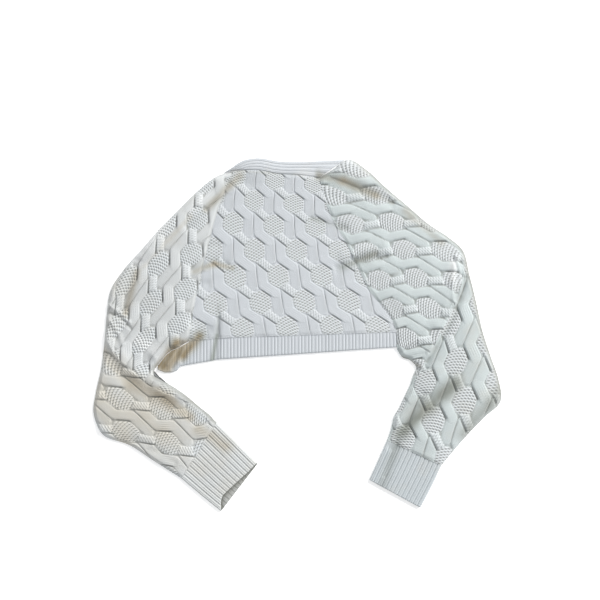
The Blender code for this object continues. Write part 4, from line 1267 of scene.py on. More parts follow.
class Wiring:
    """Adds nodes to one tree and links them."""

    def __init__(self, tree: bpy.types.NodeTree) -> None:
        """Take the tree that the nodes go to."""
        self.tree = tree

    def node(self, kind: str, **values: object) -> bpy.types.Node:
        """Add a node.

        Args:
            kind: Its type.
            values: Its properties.

        Returns:
            The node.
        """
        node = self.tree.nodes.new(kind)
        for name, value in values.items():
            setattr(node, name, value)
        return node

    def feed(self, socket: Socket, value: Socket | float | Colour) -> None:
        """Link a socket to another one, or set it to a plain value.

        Args:
            socket: The socket that takes it.
            value: The other socket, or the value.
        """
        if isinstance(value, bpy.types.NodeSocket):
            self.tree.links.new(value, socket)
        else:
            socket.default_value = value

    def math(self, operation: str, *values: Socket | float) -> Socket:
        """Work out a number.

        Args:
            operation: The Math node's operation.
            values: What goes into it.

        Returns:
            The result's socket.
        """
        node = self.node("ShaderNodeMath", operation=operation)
        for socket, value in zip(node.inputs, values):
            self.feed(socket, value)
        return node.outputs[0]

    def mix(self, share: Socket | float, one: Socket | Colour, other: Socket | Colour) -> Socket:
        """Blend two colours.

        Args:
            share: How much of the second one there is.
            one: The first colour.
            other: The second one.

        Returns:
            The result's socket.
        """
        node = self.node("ShaderNodeMix", data_type="RGBA", clamp_factor=True)
        for socket, value in ((0, share), (6, one), (7, other)):
            self.feed(node.inputs[socket], value)
        return node.outputs[2]

    def noise(self, place: Socket, scale: float, detail: float) -> Socket:
        """Give soft random numbers from 0 to 1.

        Args:
            place: The coordinates that they follow.
            scale: How many spots there are in one unit.
            detail: How many finer layers there are.

        Returns:
            The result's socket.
        """
        node = self.node("ShaderNodeTexNoise")
        self.feed(node.inputs["Vector"], place)
        node.inputs["Scale"].default_value = scale
        node.inputs["Detail"].default_value = detail
        return node.outputs["Fac"]

    def attribute(self, name: str) -> Socket:
        """Read one of the cloth's own shades."""
        return self.node("ShaderNodeAttribute", attribute_name=name).outputs["Fac"]

    def group(
        self, tree: bpy.types.NodeTree, values: dict[str, Socket | float | Colour]
    ) -> bpy.types.Node:
        """Place a node group.

        Args:
            tree: The group.
            values: What goes into its inputs.

        Returns:
            The node.
        """
        node = self.node("ShaderNodeGroup", node_tree=tree)
        for label, value in values.items():
            self.feed(node.inputs[label], value)
        return node


def new_group(
    name: str, inputs: dict[str, str], outputs: dict[str, str]
) -> tuple[Wiring, dict[str, Socket], bpy.types.Node]:
    """Start a node group.

    Args:
        name: The group's name.
        inputs: The kind of each input, by its name.
        outputs: And of each output.

    Returns:
        What wires it, its inputs by name, and the node that takes its outputs.
    """
    tree = bpy.data.node_groups.new(name, "ShaderNodeTree")
    for direction, sockets in (("INPUT", inputs), ("OUTPUT", outputs)):
        for label, kind in sockets.items():
            tree.interface.new_socket(label, in_out=direction, socket_type=f"NodeSocket{kind}")
    wiring = Wiring(tree)
    entry = wiring.node("NodeGroupInput")
    return wiring, {socket.name: socket for socket in entry.outputs}, wiring.node("NodeGroupOutput")


def stitch_group() -> bpy.types.NodeTree:
    """Build the group that gives the height of knit stitches, in metres.

    Every wale is a column of two slanting legs, and a fine noise roughens the yarn.

    Returns:
        The group.
    """
    wiring, given, result = new_group(
        "knit_stitches",
        {"Counts": "Vector", "Place": "Vector", "Moss": "Float", "Depth": "Float", "Fuzz": "Float"},
        {"Height": "Float", "Relief": "Float", "Seed": "Float"},
    )
    calc = wiring.math
    split = wiring.node("ShaderNodeSeparateXYZ")
    wiring.feed(split.inputs[0], given["Counts"])
    wales, rows, _ = split.outputs
    aside = calc("ABSOLUTE", calc("SUBTRACT", calc("FRACT", wales), 0.5))
    leg = calc("SINE", calc("MULTIPLY", aside, 2.0 * math.pi))
    leg = calc("POWER", calc("MAXIMUM", leg, 0.0), LEG_ROUNDNESS)
    phase = calc("SUBTRACT", rows, calc("MULTIPLY", aside, LEG_SLOPE))
    loop = calc("MULTIPLY_ADD", calc("COSINE", calc("MULTIPLY", phase, 2.0 * math.pi)), 0.5, 0.5)
    plain = calc("MULTIPLY", leg, calc("MULTIPLY_ADD", loop, LOOP_SHARE, 1.0 - LOOP_SHARE))
    moss = calc("MULTIPLY_ADD", plain, *MOSS_STITCHES)
    blend = wiring.node("ShaderNodeMix", data_type="FLOAT")
    for socket, value in ((0, given["Moss"]), (2, plain), (3, moss)):
        wiring.feed(blend.inputs[socket], value)
    fuzz = calc("MULTIPLY", wiring.noise(given["Place"], *FUZZ), given["Fuzz"])
    height = calc("ADD", calc("MULTIPLY", blend.outputs[0], given["Depth"]), fuzz)
    across = calc("MULTIPLY", wales, SEED_PHASES[0])
    along = calc("MULTIPLY", rows, SEED_PHASES[1])
    right = calc("COSINE", calc("ADD", across, along))
    left = calc("MULTIPLY", calc("COSINE", calc("SUBTRACT", across, along)), 1.0 - SEED_LEAN)
    seed = calc("MULTIPLY", calc("MULTIPLY_ADD", right, SEED_LEAN, left), given["Moss"])
    height = calc("MULTIPLY_ADD", seed, SEED_BUMP, height)
    wiring.feed(result.inputs["Height"], calc("MULTIPLY", height, MM))
    wiring.feed(result.inputs["Relief"], blend.outputs[0])
    wiring.feed(result.inputs["Seed"], seed)
    return wiring.tree


def tone_group() -> bpy.types.NodeTree:
    """Build the group that colours the yarn: its mottling, its warm patches, and its painted shade and
    light.

    Returns:
        The group.
    """
    inputs = {"Place": "Vector"} | dict.fromkeys(TONES, "Color") | dict.fromkeys(MASKS, "Float")
    wiring, given, result = new_group("yarn_tone", inputs, {"Colour": "Color"})
    calc = wiring.math
    mottle = calc("SUBTRACT", wiring.noise(given["Place"], *MOTTLE), 0.5)
    warmth = calc("ADD", calc("MULTIPLY", mottle, MOTTLE_CONTRAST), given["Warmth"])
    # The moss takes a darker, greener colour of the same yarn: painted shade of its rough texture.
    colour = wiring.mix(given["Moss"], given["Yarn"], given["Moss Shaded Yarn"])
    colour = wiring.mix(warmth, colour, given["Warm"])
    # Painted highlight on the seeds' tops, and painted light where a tint's shade is negative.
    tops = calc("MULTIPLY", calc("MAXIMUM", given["Seed"], 0.0), BEAD_LIGHT)
    tops = calc("MAXIMUM", tops, calc("MULTIPLY", given["Shade"], -1.0))
    colour = wiring.mix(tops, colour, given["Bead"])
    # Painted shade of the creases and the tints, in a colour between the cool and the warm one by their
    # warmth.
    crease = wiring.mix(given["Warmth"], given["Cool Crease"], given["Warm Crease"])
    shade = calc("MULTIPLY_ADD", given["Hollow"], HOLLOW_SHADE, given["Shade"])
    shade = calc("MULTIPLY", shade, calc("MULTIPLY_ADD", mottle, MOTTLE_CONTRAST, 1.0))
    colour = wiring.mix(shade, colour, crease)
    # Painted shade in the gaps between stitches and seeds, and in the grooves.
    between = calc("MULTIPLY", calc("SUBTRACT", 1.0, given["Relief"]), STITCH_GAP_SHADE)
    gaps = calc("MAXIMUM", calc("MULTIPLY", given["Seed"], -1.0), 0.0)
    gaps = calc("MULTIPLY", calc("POWER", gaps, SEED_SHARPNESS), SEED_SHADE)
    grooves = calc("MULTIPLY", given["Groove"], GROOVE_SHADE)
    depth = calc("MAXIMUM", grooves, calc("MAXIMUM", between, gaps))
    wiring.feed(result.inputs["Colour"], wiring.mix(depth, colour, given["Deep"]))
    return wiring.tree


@dataclass(frozen=True)
class Groups:
    """The node groups that all the finishes share."""

    stitches: bpy.types.NodeTree
    tone: bpy.types.NodeTree


def new_material(name: str, values: dict[str, float | Colour]) -> bpy.types.Material:
    """Make a material whose shader has these plain values.

    Args:
        name: The material's name.
        values: What its shader's sockets are set to.

    Returns:
        The material.
    """
    material = bpy.data.materials.new(name)
    material.use_nodes = True
    for label, value in values.items():
        material.node_tree.nodes["Principled BSDF"].inputs[label].default_value = value
    return material


@dataclass(frozen=True)
class KnitFinish:
    """A thick cotton yarn, knitted."""

    name: str
    slot: Slot
    yarn: Colour
    # the moss's colour: the same yarn with painted shade of its rough texture
    moss_shaded_yarn: Colour = (0.62, 0.655, 0.68, 1.0)
    # the seeds' tops' painted highlight, and the colour of the tints' painted light
    bead: Colour = (0.82, 0.84, 0.85, 1.0)
    # where the tints warm the yarn; in the creases this warmth is the warm colour of their painted shade
    warm: Colour = (0.655, 0.63, 0.565, 1.0)
    # the colours of the painted shade in creases, cool and warm
    cool_crease: Colour = (0.27, 0.30, 0.28, 1.0)
    warm_crease: Colour = (0.275, 0.215, 0.125, 1.0)
    # the colour of the painted shade in grooves and gaps
    deep: Colour = (0.22, 0.225, 0.205, 1.0)
    stitch_depth: float = 0.75
    fuzz_depth: float = 0.14
    roughness: float = 0.92
    sheen: float = 0.25
    sheen_roughness: float = 0.6
    specular: float = 0.25

    def material(self, groups: Groups) -> bpy.types.Material:
        """Make the material.

        Args:
            groups: The shared node groups.

        Returns:
            The material.
        """
        material = new_material(self.name, {
            "Roughness": self.roughness,
            "Sheen Weight": self.sheen,
            "Sheen Roughness": self.sheen_roughness,
            "Specular IOR Level": self.specular,
        })
        wiring = Wiring(material.node_tree)
        shader = material.node_tree.nodes["Principled BSDF"]
        place = wiring.node("ShaderNodeTexCoord").outputs["Object"]
        shades = {label.title(): wiring.attribute(label) for label in SHADES}
        stitches = wiring.group(groups.stitches, {
            "Counts": wiring.node("ShaderNodeUVMap", uv_map="stitches").outputs["UV"],
            "Place": place,
            "Moss": shades["Moss"],
            "Depth": self.stitch_depth,
            "Fuzz": self.fuzz_depth,
        })
        colours = {label: getattr(self, label.lower().replace(" ", "_")) for label in TONES}
        relief = {label: stitches.outputs[label] for label in ("Relief", "Seed")}
        tone = wiring.group(groups.tone, {"Place": place, **colours, **shades, **relief})
        bump = wiring.node("ShaderNodeBump")
        bump.inputs["Strength"].default_value = 1.0
        bump.inputs["Distance"].default_value = 1.0
        wiring.feed(bump.inputs["Height"], stitches.outputs["Height"])
        wiring.feed(shader.inputs["Base Color"], tone.outputs["Colour"])
        wiring.feed(shader.inputs["Normal"], bump.outputs["Normal"])
        return material


class Tone(Enum):
    """The tones of the white cotton, each with its slot and its yarn's colour."""

    CABLE = (Slot.CABLE, (0.64, 0.675, 0.715, 1.0))
    CABLE_WARM = (Slot.CABLE, (0.70, 0.725, 0.735, 1.0))
    CABLE_COOL = (Slot.CABLE, (0.64, 0.705, 0.715, 1.0))
    RIB = (Slot.RIB, (0.59, 0.625, 0.665, 1.0))
    RIB_NECK = (Slot.RIB, (0.70, 0.735, 0.78, 1.0))
    RIB_WARM = (Slot.RIB, (0.69, 0.715, 0.72, 1.0))
    RIB_COOL = (Slot.RIB, (0.62, 0.675, 0.71, 1.0))

    def finish(self) -> KnitFinish:
        """Give the finish in this tone."""
        return KnitFinish(f"white_cotton_{self.name.lower()}", *self.value)


# ---- the pieces ----
@dataclass
class KnittedPiece:
    """A piece that is knitted and sewn on by itself."""

    name: str
    cut: Cut
    finish: KnitFinish
    rests_on: tuple[str, ...] = ()

    def cloth(self) -> Cloth:
        """Build the piece's mesh."""
        raise NotImplementedError

    def build(self, shift: Floats, groups: Groups) -> bpy.types.Object:
        """Build and dress the piece, hang it on the root, and hide its solid.

        Args:
            shift: What brings the tables' places to the frame.
            groups: The shared node groups.

        Returns:
            The object.
        """
        piece = self.cloth().make(f"{self.name}_knit", shift)
        piece.data.materials.append(self.finish.material(groups))
        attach(piece, "root")
        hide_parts(self.name)
        [f"{name}_knit" for name in self.rests_on]
        triangles = sum(len(face.vertices) - 2 for face in piece.data.polygons)
        LOG.info("%s: %d points, %d triangles", piece.name, len(piece.data.vertices), triangles)
        return piece


@dataclass
class Tube(KnittedPiece):
    """A flattened tube of cloth, open at both ends."""

    sections: Sequence[Section] = ()
    drawn: Sequence[Sequence[float]] = ()
    raglan: Sequence[Corner] | None = None
    rows: int = 430
    columns: int = 200
    foot_rows: int = 130
    foot_columns: int = 60
    inside_rows: int = 44
    inside_columns: int = 18
    start: float = 0.0
    light_side_shade: float = LIT_SIDE_SHADE

    def place(self, places: Floats, across: Floats) -> Floats:
        """Lay the plan of the upper layer, which may be drawn back from the mouth.

        Args:
            places: Shares of its length.
            across: Shares of its width.

        Returns:
            Points in rows and columns.
        """
        plan = self.place_under(places, across)
        if self.drawn:
            back = np.interp(across, *self.drawn) * smooth(places)[:, None]
            plan = plan + back[..., None] * np.array(DRAWN_TOWARDS)
        return plan

    def place_under(self, places: Floats, across: Floats) -> Floats:
        """Lay the plan of the lower layer, at these shares of its length and width."""
        seam = None if self.raglan is None else Curve(self.raglan)
        return sleeve_plan(self.sections, self.start + (1.0 - self.start) * places, across, seam)

    def outer_height(self, plan: Floats, gaps: Floats, across: Floats) -> tuple[Floats, Knit | None]:
        """Give the outer face's heights and its pattern."""
        raise NotImplementedError

    def under_height(self, plan: Floats, gaps: Floats, across: Floats) -> tuple[Floats, Knit | None]:
        """Give the resting face's heights and its pattern."""
        raise NotImplementedError

    def inside_height(self, across: Floats) -> Floats:
        """Give what the inner faces' ribs add to them."""
        return np.zeros_like(across)

    def count_outer(self, places: Floats, across: Floats, plan: Floats) -> CountCorners:
        """Give what counts the stitches on the patterned faces."""
        return plain_counts

    def cloth(self) -> Cloth:
        """Build the tube's wall, its rounded sides and its plain inside.

        Returns:
            The closed mesh.
        """
        cloth = Cloth()
        places = np.linspace(0.0, 1.0, self.rows + 1)
        across = edge_spread(self.columns, EDGE_CROWDING)
        plan = self.place(places, across)
        z, knit = self.outer_height(plan, edge_gaps(plan), across)
        # Painted shade: in the grooves, and along the sides that face the light, where the rounded edges
        # would be lit brightest.
        groove = groove_of(z)
        if knit is not None:
            groove = np.maximum(knit.groove, SLEEVE_GROOVES * groove * (1.0 - knit.moss))
        sides_shade = self.edge_shade(plan)
        top = cloth.add(plan, z, np.maximum(groove, sides_shade), knit)
        cloth.grid(top, self.count_outer(places, across, plan))
        share = (BULGE_INSET / np.linalg.norm(plan[:, -1] - plan[:, 0], axis=1))[:, None]
        beside = np.concatenate((share, 1.0 - share), axis=1)
        middle = (self.place(places, beside) + self.place_under(places, beside)) / 2
        bulge = cloth.add(middle, BULGE_HEIGHT, sides_shade[:, (0, -1)])
        for column in (0, -1):
            cloth.strip(top[:, column], bulge[:, column])
        foot = self.foot(cloth)
        for column in (0, -1):
            cloth.stitch(bulge[:, column], foot[:, column])
        ceiling = self.inner(cloth, under=False)
        floor = self.inner(cloth, under=True)
        for column in (0, -1):
            cloth.strip(ceiling[:, column], floor[:, column])
        for row in (0, -1):
            cloth.stitch(top[row], ceiling[row])
            cloth.stitch(foot[row], floor[row])
            for column in (0, -1):
                outer = np.array((top[row, column], bulge[row, column], foot[row, column]))
                inner = np.array((ceiling[row, column], floor[row, column]))
                cloth.stitch(outer, inner)
        return cloth

    def edge_shade(self, plan: Floats) -> Floats:
        """Tell how much painted shade the cloth gets along the tube's two sides, most where they face the
        light.

        Args:
            plan: The upper layer's points.

        Returns:
            The shades.
        """
        shade = np.zeros(plan.shape[:2])
        for column in (0, -1):
            side = plan[:, column]
            run = np.gradient(side, axis=0)
            outwards = np.stack((run[:, 1], -run[:, 0]), axis=1)
            turned_in = np.sum(outwards * (side - plan.mean(axis=1)), axis=1) < 0.0
            outwards[turned_in] *= -1.0
            facing = outwards @ np.array(LIT_SIDE_FACING) / np.linalg.norm(outwards, axis=1)
            depth = EDGE_SHADE + self.light_side_shade * np.clip(facing, 0.0, 1.0) ** 2
            distance = to_polyline(plan, thinned(side, SIDE_POINTS))
            shade = np.maximum(shade, depth[:, None] * np.exp(-((distance / EDGE_SHADE_REACH) ** 2)))
        return shade

    def drawn_in(
        self, places: Floats, columns: int, inset: float, under: bool
    ) -> tuple[Floats, Floats]:
        """Lay a grid whose sides lie in from the tube's own.

        Args:
            places: Shares of its length, one a row.
            columns: How many steps there are across.
            inset: How far in its sides lie.
            under: Whether it follows the lower layer.

        Returns:
            Its points in rows and columns, and their shares of the width.
        """
        place = self.place_under if under else self.place
        ends = place(places, np.array((0.0, 1.0)))
        share = (inset / np.linalg.norm(ends[:, 1] - ends[:, 0], axis=1))[:, None]
        across = share + (1.0 - 2.0 * share) * np.linspace(0.0, 1.0, columns + 1)
        return place(places, across), across

    def foot(self, cloth: Cloth) -> Numbers:
        """Lay the resting face.

        Args:
            cloth: The mesh that it goes to.

        Returns:
            The numbers of its points.
        """
        places = np.linspace(0.0, 1.0, self.foot_rows + 1)
        plan, across = self.drawn_in(places, self.foot_columns, FOOT_INSET, under=True)
        z, knit = self.under_height(plan, edge_gaps(plan), across)
        # Painted shade in the resting face's grooves, which lie hidden.
        numbers = cloth.add(plan, z, np.clip(z / UNDER_RELIEF, 0.0, 1.0) ** 2, knit)
        cloth.grid(numbers, self.count_outer(places, across, plan))
        return numbers

    def inner(self, cloth: Cloth, under: bool) -> Numbers:
        """Lay one of the two inner faces.

        Args:
            cloth: The mesh that it goes to.
            under: Whether it is the lower one.

        Returns:
            The numbers of its points.
        """
        places = np.linspace(0.0, 1.0, self.inside_rows + 1)
        places = INSIDE_MARGIN + (1.0 - 2.0 * INSIDE_MARGIN) * places
        plan, across = self.drawn_in(places, self.inside_columns, WALL, under)
        ribs = self.inside_height(across)
        furrows = ribs.max() - ribs
        z = WALL - furrows if under else UPPER_FLOOR + furrows
        lip = self.place(np.ones(1), np.linspace(0.0, 1.0, LIP_POINTS))[0]
        from_lip = to_polyline(plan, thinned(lip, MOUTH_POINTS))
        # Painted shade inside the tube, deepest under the mouth's upper lip and in the ribs' furrows.
        shade = INSIDE_SHADE + LIP_SHADE * np.exp(-from_lip / LIP_REACH)
        numbers = cloth.add(plan, z, shade + INSIDE_FURROW_SHADE * furrows / INSIDE_RIBS)
        cloth.grid(numbers, self.count_outer(places, across, plan))
        return numbers


@dataclass
class Sleeve(Tube):
    """A sleeve, from its raglan seam over the elbow's fold to its cuff."""

    stitches: Stitches = BACK_STITCHES
    relief: float = 1.5
    hem_seam: Sequence[Corner] = ()

    def to_ends(self, plan: Floats) -> tuple[Floats, Floats]:
        """Measure how far each point lies from the raglan seam and from the cuff's."""
        ends = self.place(np.array((0.0, 1.0)), np.linspace(0.0, 1.0, END_POINTS))
        return to_polyline(plan, ends[0]), to_polyline(plan, ends[1])

    def outer_height(self, plan: Floats, gaps: Floats, across: Floats) -> tuple[Floats, Knit | None]:
        """Give the outer face's heights: its crown, folds and pattern.

        Args:
            plan: The face's points.
            gaps: How far each lies from the sides.
            across: Its share of the width.

        Returns:
            The heights, and the pattern.
        """
        sides = [to_polyline(plan, thinned(plan[:, column], SIDE_POINTS)) for column in (0, -1)]
        nearest = np.minimum(np.minimum(*sides), gaps)
        to_raglan, to_cuff = self.to_ends(plan)
        knit = self.stitches.at(plan)
        seeded = SEED_RISE * knit.seed
        soft = blurred(knit.height - seeded, SLEEVE_SOFTNESS) + seeded
        soft = soft + SLEEVE_ROUNDNESS * blurred(knit.back, SLEEVE_ROUNDING)
        pattern = self.relief * soft * smooth(nearest / PATTERN_FADE)
        pattern = pattern * seam_share(to_raglan, SLEEVE_SEAM_PATTERN)
        to_ribs = np.minimum(to_cuff, to_polyline(plan, self.hem_seam))
        pattern = pattern * seam_share(to_ribs, RIB_SEAM_PATTERN)
        crown = smooth(nearest / CROWN_REACH) * smooth(np.minimum(to_raglan, to_cuff) / CROWN_REACH)
        raised = np.maximum(UPPER_TOP + CROWN * crown + folds_at(plan) + pattern, THINNEST_TOP)
        return EDGE_HEIGHT + (raised - EDGE_HEIGHT) * rounded(nearest, EDGE_RADIUS), knit

    def under_height(self, plan: Floats, gaps: Floats, across: Floats) -> tuple[Floats, Knit | None]:
        """Give the resting face's heights: the pattern's grooves, and flat elsewhere.

        Args:
            plan: The face's points.
            gaps: How far each lies from the sides.
            across: Its share of the width.

        Returns:
            The heights, and the pattern.
        """
        knit = self.stitches.at(plan)
        inner = smooth(np.minimum(gaps, np.minimum(*self.to_ends(plan))) / UNDER_RIM)
        return UNDER_RELIEF * knit.sunk() * inner, knit

    def count_outer(self, places: Floats, across: Floats, plan: Floats) -> CountCorners:
        """Count the pattern's own stitches."""
        return self.stitches.counts


@dataclass
class Cuff(Tube):
    """A ribbed cuff, sewn to the end of a sleeve."""

    ribs: int = CUFF_RIBS
    light_side_shade: float = CUFF_LIT_SIDE_SHADE

    def __post_init__(self) -> None:
        """Leave the seam's gap between the cuff and its sleeve."""
        self.start = SEAM / Curve(self.sections).length * math.sqrt(2.0)

    def outer_height(self, plan: Floats, gaps: Floats, across: Floats) -> tuple[Floats, Knit | None]:
        """Give the outer face's heights: its ribs and folds.

        Args:
            plan: The face's points.
            gaps: How far each lies from the sides.
            across: Its share of the width.

        Returns:
            The heights, and no pattern.
        """
        ribs = np.broadcast_to(rib_height(across, self.ribs, RIB_RISE + CUFF_EXTRA), plan.shape[:2])
        mouth = to_polyline(plan, thinned(plan[-1], MOUTH_POINTS))
        body = UPPER_TOP + folds_at(plan) + ribs
        body = body - MOUTH_ROUND * (1.0 - rounded(mouth, MOUTH_ROUND))
        raised = np.maximum(body, THINNEST_TOP)
        z = EDGE_HEIGHT + (raised - EDGE_HEIGHT) * rounded(gaps, EDGE_RADIUS)
        return z, None

    def under_height(self, plan: Floats, gaps: Floats, across: Floats) -> tuple[Floats, Knit | None]:
        """Give the resting face's heights: the furrows between its ribs.

        Args:
            plan: The face's points.
            gaps: How far each lies from the sides.
            across: Its share of the width.

        Returns:
            The heights, and no pattern.
        """
        furrows = 1.0 - rib_height(across, self.ribs, 1.0)
        z = UNDER_RELIEF * furrows * smooth(gaps / UNDER_RIM)
        return z, None

    def inside_height(self, across: Floats) -> Floats:
        """Give what the inner faces' ribs add to them."""
        return INSIDE_RIBS * rib_height(across, self.ribs, 1.0)

    def count_outer(self, places: Floats, across: Floats, plan: Floats) -> CountCorners:
        """Count two wales to a rib, and rows along the cuff.

        Args:
            places: Shares of the cuff's length, one a row.
            across: Shares of its width.
            plan: The face's points.

        Returns:
            What counts the stitches of that face.
        """
        wales = 2.0 * self.ribs * np.broadcast_to(across, plan.shape[:2])
        rows = np.broadcast_to((places * Curve(self.sections).length / ROW)[:, None], plan.shape[:2])
        counts = np.stack((wales, rows), axis=-1)
        return lambda _: grid_corners(counts)


@dataclass
class Back(KnittedPiece):
    """The back: a panel between its raglan seams, its neck and its hem."""

    rows: int = 300
    columns: int = 300
    foot_rows: int = 60
    foot_columns: int = 60

    def plan(self, rows: int, columns: int) -> Floats:
        """Spread a grid between the panel's four edges.

        Args:
            rows: How many steps there are from the neck to the hem.
            columns: And from the left raglan to the right one.

        Returns:
            Points in rows and columns.
        """
        left_seam = Curve(RAGLAN_LEFT)
        right_seam = Curve(RAGLAN_RIGHT)
        s = np.linspace(0.0, 1.0, rows + 1)
        t = np.linspace(0.0, 1.0, columns + 1)
        left = left_seam.at(s)[:, None]
        right = right_seam.at(s * right_seam.knots[UNDERARM_KNOT])[:, None]
        neck = Curve(BACK_NECK).at(t)[None]
        hem = Curve(BACK_HEM).at(t)[None]
        down = s[:, None, None]
        over = t[None, :, None]
        corners = (
            (1 - down) * ((1 - over) * neck[:, :1] + over * neck[:, -1:])
            + down * ((1 - over) * hem[:, :1] + over * hem[:, -1:])
        )
        plan = (1 - over) * left + over * right + (1 - down) * neck + down * hem - corners
        return draw_in(plan, BACK_GAP)

    def cloth(self) -> Cloth:
        """Build the panel.

        Returns:
            The closed mesh.
        """
        cloth = Cloth()
        plan = self.plan(self.rows, self.columns)
        knit = BACK_STITCHES.at(plan)
        pattern = knit.height
        for side, share in (
            (plan[0], RIB_SEAM_PATTERN),
            (plan[-1], RIB_SEAM_PATTERN),
            (plan[:, 0], SEAM_PATTERN),
            (plan[:, -1], SEAM_PATTERN),
        ):
            pattern = pattern * seam_share(to_polyline(plan, thinned(side, SEAM_POINTS)), share)
        z = np.maximum(UPPER_TOP + folds_at(plan) + pattern, THINNEST_TOP)
        # The pattern's grooves and furrows get painted shade.
        top = cloth.add(plan, z, knit.groove, knit)
        cloth.grid(top, BACK_STITCHES.counts)
        foot = cloth.add(self.plan(self.foot_rows, self.foot_columns), UPPER_FLOOR, PLAIN_SHADE)
        cloth.grid(foot)
        cloth.stitch_borders(top, foot)
        return cloth


@dataclass
class Front(KnittedPiece):
    """A front: a sheet under the back, from the neck to the hem band."""

    raglan: Sequence[Corner] = ()
    opening: Sequence[Corner] = ()
    rows: int = 140
    columns: int = 84
    top_rows: int = 40
    top_columns: int = 24

    def plan(self, rows: int, columns: int) -> Floats:
        """Spread a grid between the raglan seam and the open edge.

        Args:
            rows: How many steps there are from the neck to the hem.
            columns: And from the seam to the open edge.

        Returns:
            Points in rows and columns.
        """
        lines = []
        for corners in (self.raglan, self.opening):
            line = np.asarray(corners, dtype=float)
            steps = np.linalg.norm(np.diff(line, axis=0), axis=1)
            knots = np.concatenate(([0.0], np.cumsum(steps))) / steps.sum()
            places = np.linspace(0.0, 1.0, rows + 1)
            lines.append(np.stack([np.interp(places, knots, line[:, k]) for k in (0, 1)], axis=-1))
        over = np.linspace(0.0, 1.0, columns + 1)[None, :, None]
        return lines[0][:, None] * (1 - over) + lines[1][:, None] * over

    def cloth(self) -> Cloth:
        """Build the sheet, with its pattern on the face that rests.

        Returns:
            The closed mesh.
        """
        cloth = Cloth()
        plan = self.plan(self.rows, self.columns)
        sides = (plan[0], plan[-1], plan[:, 0], plan[:, -1])
        to_edge = np.min([to_polyline(plan, thinned(side, FRONT_POINTS)) for side in sides], axis=0)
        knit = BACK_STITCHES.at(plan)
        z = UNDER_RELIEF * knit.sunk() * smooth(to_edge / SEAM_REACH)
        # Painted shade in the grooves of this resting face, which lies hidden.
        foot = cloth.add(plan, z, (z / UNDER_RELIEF) ** 2, knit)
        cloth.grid(foot, BACK_STITCHES.counts)
        top = cloth.add(self.plan(self.top_rows, self.top_columns), WALL, PLAIN_SHADE)
        cloth.grid(top)
        cloth.stitch_borders(foot, top)
        return cloth


@dataclass
class NeckBand(KnittedPiece):
    """The neck band: ribs along the back neck, its free edge drooping to the surface."""

    rows: int = 48
    columns: int = 240

    def cloth(self) -> Cloth:
        """Build the band.

        Returns:
            The closed mesh.
        """
        cloth = Cloth()
        u = np.linspace(0.0, 1.0, self.columns + 1)
        v = edge_spread(self.rows, BAND_CROWDING)
        over = v[:, None, None]
        plan = Curve(BAND_SEAM).at(u)[None] * (1 - over) + Curve(BAND_EDGE).at(u)[None] * over
        plan = draw_in(plan, BAND_GAP)
        droop = np.broadcast_to((UPPER_FLOOR * (1.0 - smooth(v)))[:, None], plan.shape[:2])
        ribs = rib_height(v, BAND_RIBS, RIB_RISE)[:, None]
        swell = BAND_SWELL * np.sin(math.pi * v)[:, None]
        z = droop + WALL + ribs + swell
        wales = 2.0 * BAND_RIBS * np.broadcast_to(v[:, None], z.shape)
        rows = np.broadcast_to((u * Curve(BAND_EDGE).length / ROW)[None], z.shape)
        counts = np.stack((wales, rows), axis=-1)
        # Painted shade in the ribs' furrows.
        top = cloth.add(plan, z, groove_of(z))
        foot = cloth.add(plan, droop)
        for face in (top, foot):
            cloth.grid(face, lambda _: grid_corners(counts))
        for one, other in ((top, foot), (top.T, foot.T)):
            for line in (0, -1):
                cloth.strip(one[line], other[line])
        return cloth


